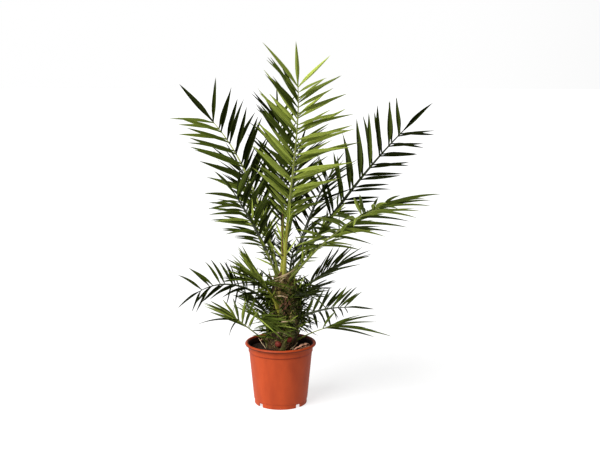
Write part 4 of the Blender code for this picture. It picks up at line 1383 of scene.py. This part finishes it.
def add_strands(look):
    """Loose fibres that cross over the trunk both ways, each a thin three-sided strand.

    A strand's turn and height run on evenly at its own slope, and its way out from the trunk
    waves by up to 3 mm.
    """
    random = np.random.RandomState(SEED + 41)
    share = np.linspace(0, 1, STRAND_STATIONS)
    count = (look.strands, 1)
    length = random.uniform(*STRAND_LENGTHS, count)
    slope = np.radians(random.uniform(*STRAND_SLOPES, count)) * random.choice((-1, 1), count)
    turn = random.uniform(0, 2.0 * np.pi, count) + length * np.sin(slope) / STRAND_REACH * share
    height = random.uniform(*STRAND_HEIGHTS, count) + length * np.cos(slope) * share
    height = np.minimum(height, TRUNK_TOP - 0.006)
    phase = random.uniform(0, 6.28, count)
    stray = STRAND_OUT * (random.rand(*count) < STRAND_STRAY) * share**3
    lines = around_trunk(turn, height, STRAND_OFF + STRAND_WAVE * np.sin(phase + 7.0 * share) + stray)
    radius = look.strand_radius * random.uniform(*STRAND_RADII, count) * (1.0 - 0.5 * share)
    rings = swept(lines, radius, radius, bearing(turn), 3)
    tan = random.rand(look.strands) < STRAND_TAN
    for name, mine, tone in (("brown", ~tan, look.bark), ("tan", tan, look.base_tan)):
        dark = mixed(tone, BLACK, 0.4)
        pale = mixed(tone, (1, 0.9, 0.7), 0.2)
        finish = streaked(f"{name}_palm_fibre", tone, dark, pale, 0.85, 2.0, 0.0002)
        swept_piece(f"strands_{name}", rings[mine], np.arange(mine.sum()) * 1.3, finish)


def add_dry_parts(look):
    """Dry strips of sheath and reddish fibres on the trunk, and dry flakes inside the rim.

    All are thin ribbons that taper to both ends as the cube of the way from the middle: a strip
    or fibre follows its few named points, and a flake is a low arc.
    """
    share = np.linspace(0, 1, STRIP_STATIONS)
    taper = 1.0 - 0.7 * np.abs(2.0 * share - 1.0) ** 3

    def ribbons(rows, thick):
        """Ribbons along the rows' named points, facing off the trunk."""
        lines = np.array([smooth_line(points, STRIP_STATIONS) for _, *points in rows]) * MM
        widths = np.array([[width] for width, *_ in rows]) * MM
        return swept(lines, 0.5 * widths * taper, thick, off_axis(lines), RIBBON_SIDES)

    place, length, turn = np.split(np.array(DRY_FLAKES)[:, None], (3, 4), axis=2)
    arch = UP * FLAKE_ARCH * (1.0 - (2.0 * share - 1.0) ** 2)[:, None]
    arcs = MM * (place + length * (bearing(np.radians(turn[..., 0])) * (share - 0.5)[:, None] + arch))
    flakes = swept(arcs, FLAKE_HALF * taper, RIBBON_THICK, UP + 0 * arcs, RIBBON_SIDES)
    for name, rings, tone in (
        ("strips", ribbons(DRY_STRIPS, STRIP_THICK), look.dry),
        ("flakes", flakes, look.flake),
        ("fibres", ribbons(FIBRE_STRIPS, RIBBON_THICK), look.fibre),
    ):
        dark = mixed(tone, look.bark, 0.55)
        pale = mixed(tone, (1, 1, 0.95), 0.25)
        finish = streaked(f"dry_sheath_{name}", tone, dark, pale, 0.75, 5.0, 0.0005)
        swept_piece(f"dry_sheath_{name}", rings, np.arange(len(rings)) * 1.7, finish)


def add_stubs(look):
    """Freshly cut stubs low on the trunk: short rounded stalks whose ends show reddish."""
    share = np.linspace(0, 1, 8)
    turn, height = np.array(CUT_STUBS, float).T
    turn = np.radians(turn)
    outward = unit(bearing(turn) + STUB_RISE * UP)[:, None]
    lines = around_trunk(turn, height, 0.0)[:, None] + outward * STUB_REACH * (share[:, None] - STUB_SUNK)
    swell = np.sqrt(np.clip(1.0 - np.clip((share - 0.55) / 0.46, 0, 1) ** 2, 0.0004, 1))
    rings = swept(lines, STUB_WIDTH * swell, STUB_DEPTH * swell, UP + 0 * lines, STUB_SIDES)
    tone = look.cut_end
    pale = mixed(tone, look.dry, 0.3)
    finish = streaked("cut_palm_stub", tone, mixed(tone, look.shade, 0.6), pale, 0.6, 3.0, 0.0008)
    swept_piece("cut_stubs", rings, np.arange(len(rings)) * 1.1, finish)


def rounded(profile):
    """The profile with each corner rounded: a parabola from one edge to the next.

    profile is (radius, height, size of the round). Each round starts its size from the corner, or
    under half an edge where that is shorter. One more point just outside it on each edge keeps
    the flat part's shading flat.
    """
    made = []
    corners = np.array([(r, z) for r, z, _ in profile])
    share = np.linspace(0, 1, EDGE_STEPS + 1)[:, None]
    for k, (r, z, size) in enumerate(profile):
        if not size:
            made.append(corners[k : k + 1])
            continue
        before = corners[k - 1] - corners[k]
        after = corners[k + 1] - corners[k]
        back = min(size / np.linalg.norm(before), 0.4)
        on = min(size / np.linalg.norm(after), 0.4)
        start = corners[k] + before * back
        end = corners[k] + after * on
        made.append(corners[k] + before * back * 1.2)
        made.append((1 - share) ** 2 * start + 2 * share * (1 - share) * corners[k] + share**2 * end)
        made.append(corners[k] + after * on * 1.2)
    return np.vstack(made)


def turned(profile, turns):
    """A profile carried round the axis: rings of points at each of its places."""
    radius, height = profile.T[..., None]
    return np.stack([radius * np.cos(turns), radius * np.sin(turns), height + 0 * turns], -1)[None]


def wall_radius(height):
    """The pot's inner radius at a height."""
    share = np.clip((height - BASE_BAND_HEIGHT) / (POT_HEIGHT - BAND_DEPTH - BASE_BAND_HEIGHT), 0, 1)
    return BODY_BASE_RADIUS + (BODY_TOP_RADIUS - BODY_BASE_RADIUS) * share - WALL


def add_pot(look):
    """The pot: one profile from the underside's middle out, up, over the rim and down inside.

    It stands on a narrow foot ring and a flat disc. Four drain notches lift the foot ring's
    lower points to the notch roof within their own width of turn.
    """
    step_z = POT_HEIGHT - BAND_DEPTH
    roof = CHANNEL_HEIGHT + WALL
    lip = POT_HEIGHT - LIP_DEPTH
    profile = rounded(
        [
            (POT_MIDDLE, 0.0, 0.0),
            (DISC_RADIUS, 0.0, EDGE_ROUND),
            (DISC_RADIUS + 0.002, CHANNEL_HEIGHT, EDGE_ROUND),
            (BASE_RADIUS - FOOT_WIDTH, CHANNEL_HEIGHT, EDGE_ROUND),
            (BASE_RADIUS - FOOT_WIDTH, 0.0, FINE_ROUND),
            (BASE_RADIUS, 0.0, EDGE_ROUND),
            (BASE_RADIUS, BASE_BAND_HEIGHT, FINE_ROUND),
            (BODY_BASE_RADIUS, BASE_BAND_HEIGHT + 0.0012, FINE_ROUND),
            (wall_radius(step_z - 0.009) + WALL, step_z - 0.0090, 0.0),
            (wall_radius(step_z - 0.005) + WALL - 0.0002, step_z - 0.0050, 0.0),
            (wall_radius(step_z - 0.003) + WALL - 0.0006, step_z - 0.0030, 0.0),
            (BODY_TOP_RADIUS - 0.0010, step_z - 0.0012, FINE_ROUND),
            (BAND_RADIUS, step_z, FINE_ROUND),
            (BAND_RADIUS, step_z + 0.0030, 0.0),
            (BAND_RADIUS, lip - 0.0070, 0.0),
            (BAND_RADIUS, lip - 0.0045, 0.0),
            (BAND_RADIUS, lip - 0.0022, 0.0),
            (BAND_RADIUS, lip, FINE_ROUND),
            (RIM_RADIUS - 0.0012, lip - 0.0002, FINE_ROUND),
            (RIM_RADIUS, POT_HEIGHT - 0.0048, EDGE_ROUND),
            (RIM_RADIUS - 0.0032, POT_HEIGHT - 0.0002, 0.0026),
            (RIM_INNER_RADIUS + 0.0020, POT_HEIGHT, 0.0022),
            (RIM_INNER_RADIUS - 0.0016, lip, EDGE_ROUND),
            (wall_radius(step_z), step_z, EDGE_ROUND),
            (wall_radius(roof), roof, EDGE_ROUND),
            (DISC_RADIUS - WALL, roof, EDGE_ROUND),
            (DISC_RADIUS - WALL - 0.002, FLOOR, EDGE_ROUND),
            (POT_MIDDLE, FLOOR, 0.0),
        ]
    )
    radius, height = profile.T
    half = 0.5 * NOTCH_WIDTH / BASE_RADIUS
    notches = np.radians(NOTCH_AZIMUTHS)[:, None]
    edges = notches + [-half - 0.002, -half, half, half + 0.002]
    turns = np.unique(np.concatenate([np.linspace(-np.pi, np.pi, POT_SIDES, False), edges.ravel()]))
    away = np.min(np.abs((turns - notches + np.pi) % (2 * np.pi) - np.pi), 0)
    rings = turned(profile, turns)
    in_foot = (radius > DISC_RADIUS + 0.004) & (height < NOTCH_HEIGHT)
    in_foot[len(profile) // 2 :] = False
    lifted = in_foot[:, None] & (away <= half + 0.0005)
    rings[0, ..., 2] = np.where(lifted, NOTCH_HEIGHT, rings[0, ..., 2])
    within = np.arange(len(profile)) > len(profile) // 2
    # Soil staining and painted shade, near black, over the inner wall below the rim.
    stain_and_shade = np.clip((POT_HEIGHT - 0.0030 - height) / 0.0045, 0, 0.97) * within
    # Painted shade in the corners under the rim and under the band, where the lip and the band keep the
    # light off.
    shade_under_rim = np.exp(-(((height - lip) / 0.0026) ** 2))
    shade_under_band = 0.7 * np.exp(-(((height - step_z + 0.001) / 0.0020) ** 2))
    corner = (shade_under_rim + shade_under_band) * ~within * (radius < BAND_RADIUS + 0.0002) * (height < lip + 0.0001)
    maps = np.stack([stain_and_shade, corner], -1).repeat(len(turns), 0)
    finish = terracotta_polypropylene(look)
    ringed_piece("nursery_pot", rings, maps, finish, ["pot"])


def soil_height(x, y, look):
    """The soil's height: highest at the trunk, lower at the wall, plus waves of random heading."""
    random = np.random.RandomState(SEED + 51)
    height = np.interp(np.hypot(x, y), SOIL_REACHES, SOIL_HEIGHTS)
    for length in SOIL_WAVES:
        heading = random.uniform(0, 2 * np.pi)
        start = random.uniform(0, 2 * np.pi)
        wave = np.sin((x * math.cos(heading) + y * math.sin(heading)) * 2 * np.pi / length + start)
        height = height + look.relief * (length / SOIL_WAVES[0]) ** 0.5 * 0.4 * wave
    return height


def add_soil(look):
    """The pot's fill of peat: a turned body whose top follows the soil's height, and crumbs.

    A crumb is a small eight-faced lump, each stretched its own way.
    """
    base = CHANNEL_HEIGHT + WALL + SOIL_GAP
    top = np.linspace(wall_radius(SOIL_EDGE_Z) - SOIL_GAP, 0.001, SOIL_RINGS)
    below = [(0.001, base), (wall_radius(base) - SOIL_GAP, base), (wall_radius(0.16) - SOIL_GAP, 0.160)]
    profile = np.array(below + [(r, 0.0) for r in top])
    rings = turned(profile, np.linspace(-np.pi, np.pi, SOIL_SIDES, False))
    surface = rings[0, len(below) :]
    surface[..., 2] = soil_height(surface[..., 0], surface[..., 1], look)
    peat = damp_peat(look)
    ringed_piece("peat_surface", rings, None, peat, ["soil"])
    random = np.random.RandomState(SEED + 61)
    count = look.crumbs
    reach = np.sqrt(random.uniform(*np.square(CRUMB_REACHES), count))
    turn = random.uniform(0, 2 * np.pi, count)
    x = reach * np.cos(turn)
    y = reach * np.sin(turn)
    size = random.uniform(*CRUMB_SIZES, (count, 1, 1)) * random.uniform(0.6, 1.3, (count, 1, 3))
    lumps = np.array(CRUMB_CORNERS) * size + random.uniform(-0.0003, 0.0003, (count, 6, 3))
    lumps = lumps + np.stack([x, y, soil_height(x, y, look) + 0.0006], -1)[:, None]
    sides = (np.array(CRUMB_FACES) + 6 * np.arange(count)[:, None, None]).reshape(-1, 3)
    palm_piece(mesh_piece("peat_crumbs", lumps.reshape(-1, 3), [sides], peat))


def linked(name, data):
    """A new object of the scene that holds a light or a camera."""
    made = bpy.data.objects.new(name, data)
    bpy.context.scene.collection.objects.link(made)
    return made


def add_stage(look):
    """A pale paper floor, a soft key light on the left, an even surround, and the camera.

    The surround is brightest level with the plant and behind it on the left, and dimmer overhead
    and behind the camera on the right, so that the background is pale while the light still has a
    direction.
    """
    profile = np.array([(reach, 0.0) for reach in FLOOR_REACHES])
    points, (quads, caps) = lofted(turned(profile, np.linspace(-np.pi, np.pi, 96, False)))
    paper = mesh_piece("paper_floor", points, [quads, caps[1:]], matt_paper(look))
    key = bpy.data.lights.new("key_light", "SUN")
    key.energy = look.key
    key.angle = look.key_size
    lamp = linked("key_light", key)
    lamp.location = KEY_PLACE
    lamp.rotation_euler = (math.pi / 2 - KEY_ELEVATION, 0.0, KEY_AZIMUTH + math.pi / 2)
    world = bpy.data.worlds.new("studio_surround")
    world.use_nodes = True
    tree = world.node_tree
    tree.nodes.clear()
    place = node(tree, "TexCoord").outputs["Generated"]
    tone = ramp(tree, axis_of(tree, place, "Z"), (0.14, (look.horizon,) * 3), (0.32, (look.overhead,) * 3))
    away = node(tree, "VectorMath", {"operation": "DOT_PRODUCT", 0: place, 1: SURROUND_AWAY})
    depth = ranged(tree, away.outputs["Value"], -0.35, 0.75, look.nearby, 1.0, "SMOOTHSTEP")
    even = node(tree, "Background", {"Color": tone, "Strength": depth})
    node(tree, "OutputWorld", {"Surface": even.outputs["Background"]})
    scene = bpy.context.scene
    scene.world = world
    scene.view_settings.view_transform = "Standard"
    camera = bpy.data.cameras.new("photo_camera")
    camera.sensor_width = 36.0
    camera.lens = look.lens
    camera.clip_end = 200.0
    holder = linked("photo_camera", camera)
    holder.location = CAMERA_PLACE
    holder.rotation_euler = (math.pi / 2 - look.tilt, 0.0, 0.0)
    scene.camera = holder


class PalmAddPot(bpy.types.Operator):
    """Adds the nursery pot"""

    bl_idname = "palm.add_pot"
    bl_label = "Nursery pot"

    def execute(self, context):
        add_pot(context.scene.palm_pot)
        return {"FINISHED"}


class PalmAddSoil(bpy.types.Operator):
    """Adds the peat and its crumbs"""

    bl_idname = "palm.add_soil"
    bl_label = "Peat"

    def execute(self, context):
        add_soil(context.scene.palm_soil)
        return {"FINISHED"}


class PalmAddTrunk(bpy.types.Operator):
    """Adds the trunk's body of matted fibre"""

    bl_idname = "palm.add_trunk"
    bl_label = "Trunk"

    def execute(self, context):
        add_trunk(context.scene.palm_trunk)
        return {"FINISHED"}


class PalmAddLeafBases(bpy.types.Operator):
    """Adds the old leaf bases round the trunk and the cut stubs"""

    bl_idname = "palm.add_leaf_bases"
    bl_label = "Leaf bases"

    def execute(self, context):
        add_leaf_bases(context.scene.palm_trunk)
        add_stubs(context.scene.palm_trunk)
        return {"FINISHED"}


class PalmAddFibres(bpy.types.Operator):
    """Adds the loose fibres, the dry strips of sheath and the dry flakes"""

    bl_idname = "palm.add_fibres"
    bl_label = "Fibres and dry sheath"

    def execute(self, context):
        add_strands(context.scene.palm_trunk)
        add_dry_parts(context.scene.palm_trunk)
        return {"FINISHED"}


class PalmAddRibs(bpy.types.Operator):
    """Adds the petioles and ribs of all fronds"""

    bl_idname = "palm.add_ribs"
    bl_label = "Petioles and ribs"

    def execute(self, context):
        add_ribs(context.scene.palm_fronds)
        return {"FINISHED"}


class PalmAddLeaflets(bpy.types.Operator):
    """Adds the leaflets of all fronds, joined by tint"""

    bl_idname = "palm.add_leaflets"
    bl_label = "Leaflets"

    def execute(self, context):
        add_leaflets(context.scene.palm_fronds)
        return {"FINISHED"}


class PalmAddStage(bpy.types.Operator):
    """Adds the paper floor, the lights and the camera"""

    bl_idname = "palm.add_stage"
    bl_label = "Stage"

    def execute(self, context):
        add_stage(context.scene.palm_stage)
        return {"FINISHED"}


class PalmPanel(bpy.types.Panel):
    """Sizes and colours of the palm, with a button for each group of pieces"""

    bl_idname = "VIEW3D_PT_palm"
    bl_label = "Potted date palm"
    bl_space_type = "VIEW_3D"
    bl_region_type = "UI"
    bl_category = "Palm"

    def draw(self, context):
        for name, label, _, operators in GROUPS:
            box = self.layout.box()
            box.label(text=label)
            look = getattr(context.scene, name)
            for key in look.__annotations__:
                box.prop(look, key)
            for operator in operators:
                box.operator(operator.bl_idname)


GROUPS = (
    ("palm_stage", "Stage", StageLook, (PalmAddStage,)),
    ("palm_pot", "Pot", PotLook, (PalmAddPot,)),
    ("palm_soil", "Soil", SoilLook, (PalmAddSoil,)),
    ("palm_trunk", "Trunk", TrunkLook, (PalmAddTrunk, PalmAddLeafBases, PalmAddFibres)),
    ("palm_fronds", "Fronds", FrondLook, (PalmAddRibs, PalmAddLeaflets)),
)


def register():
    """Registers each group of looks with its operators, then the panel."""
    for name, _, look, operators in GROUPS:
        bpy.utils.register_class(look)
        setattr(bpy.types.Scene, name, bpy.props.PointerProperty(type=look))
        for operator in operators:
            bpy.utils.register_class(operator)
    bpy.utils.register_class(PalmPanel)


def unregister():
    """Takes back all that register did."""
    bpy.utils.unregister_class(PalmPanel)
    for name, _, look, operators in reversed(GROUPS):
        for operator in operators:
            bpy.utils.unregister_class(operator)
        delattr(bpy.types.Scene, name)
        bpy.utils.unregister_class(look)


def main():
    """Builds the palm and its stage."""
    register()
    bpy.ops.palm.add_stage()
    bpy.ops.palm.add_pot()
    bpy.ops.palm.add_soil()
    bpy.ops.palm.add_trunk()
    bpy.ops.palm.add_leaf_bases()
    bpy.ops.palm.add_fibres()
    bpy.ops.palm.add_ribs()
    bpy.ops.palm.add_leaflets()


if __name__ == "__main__":
    main()
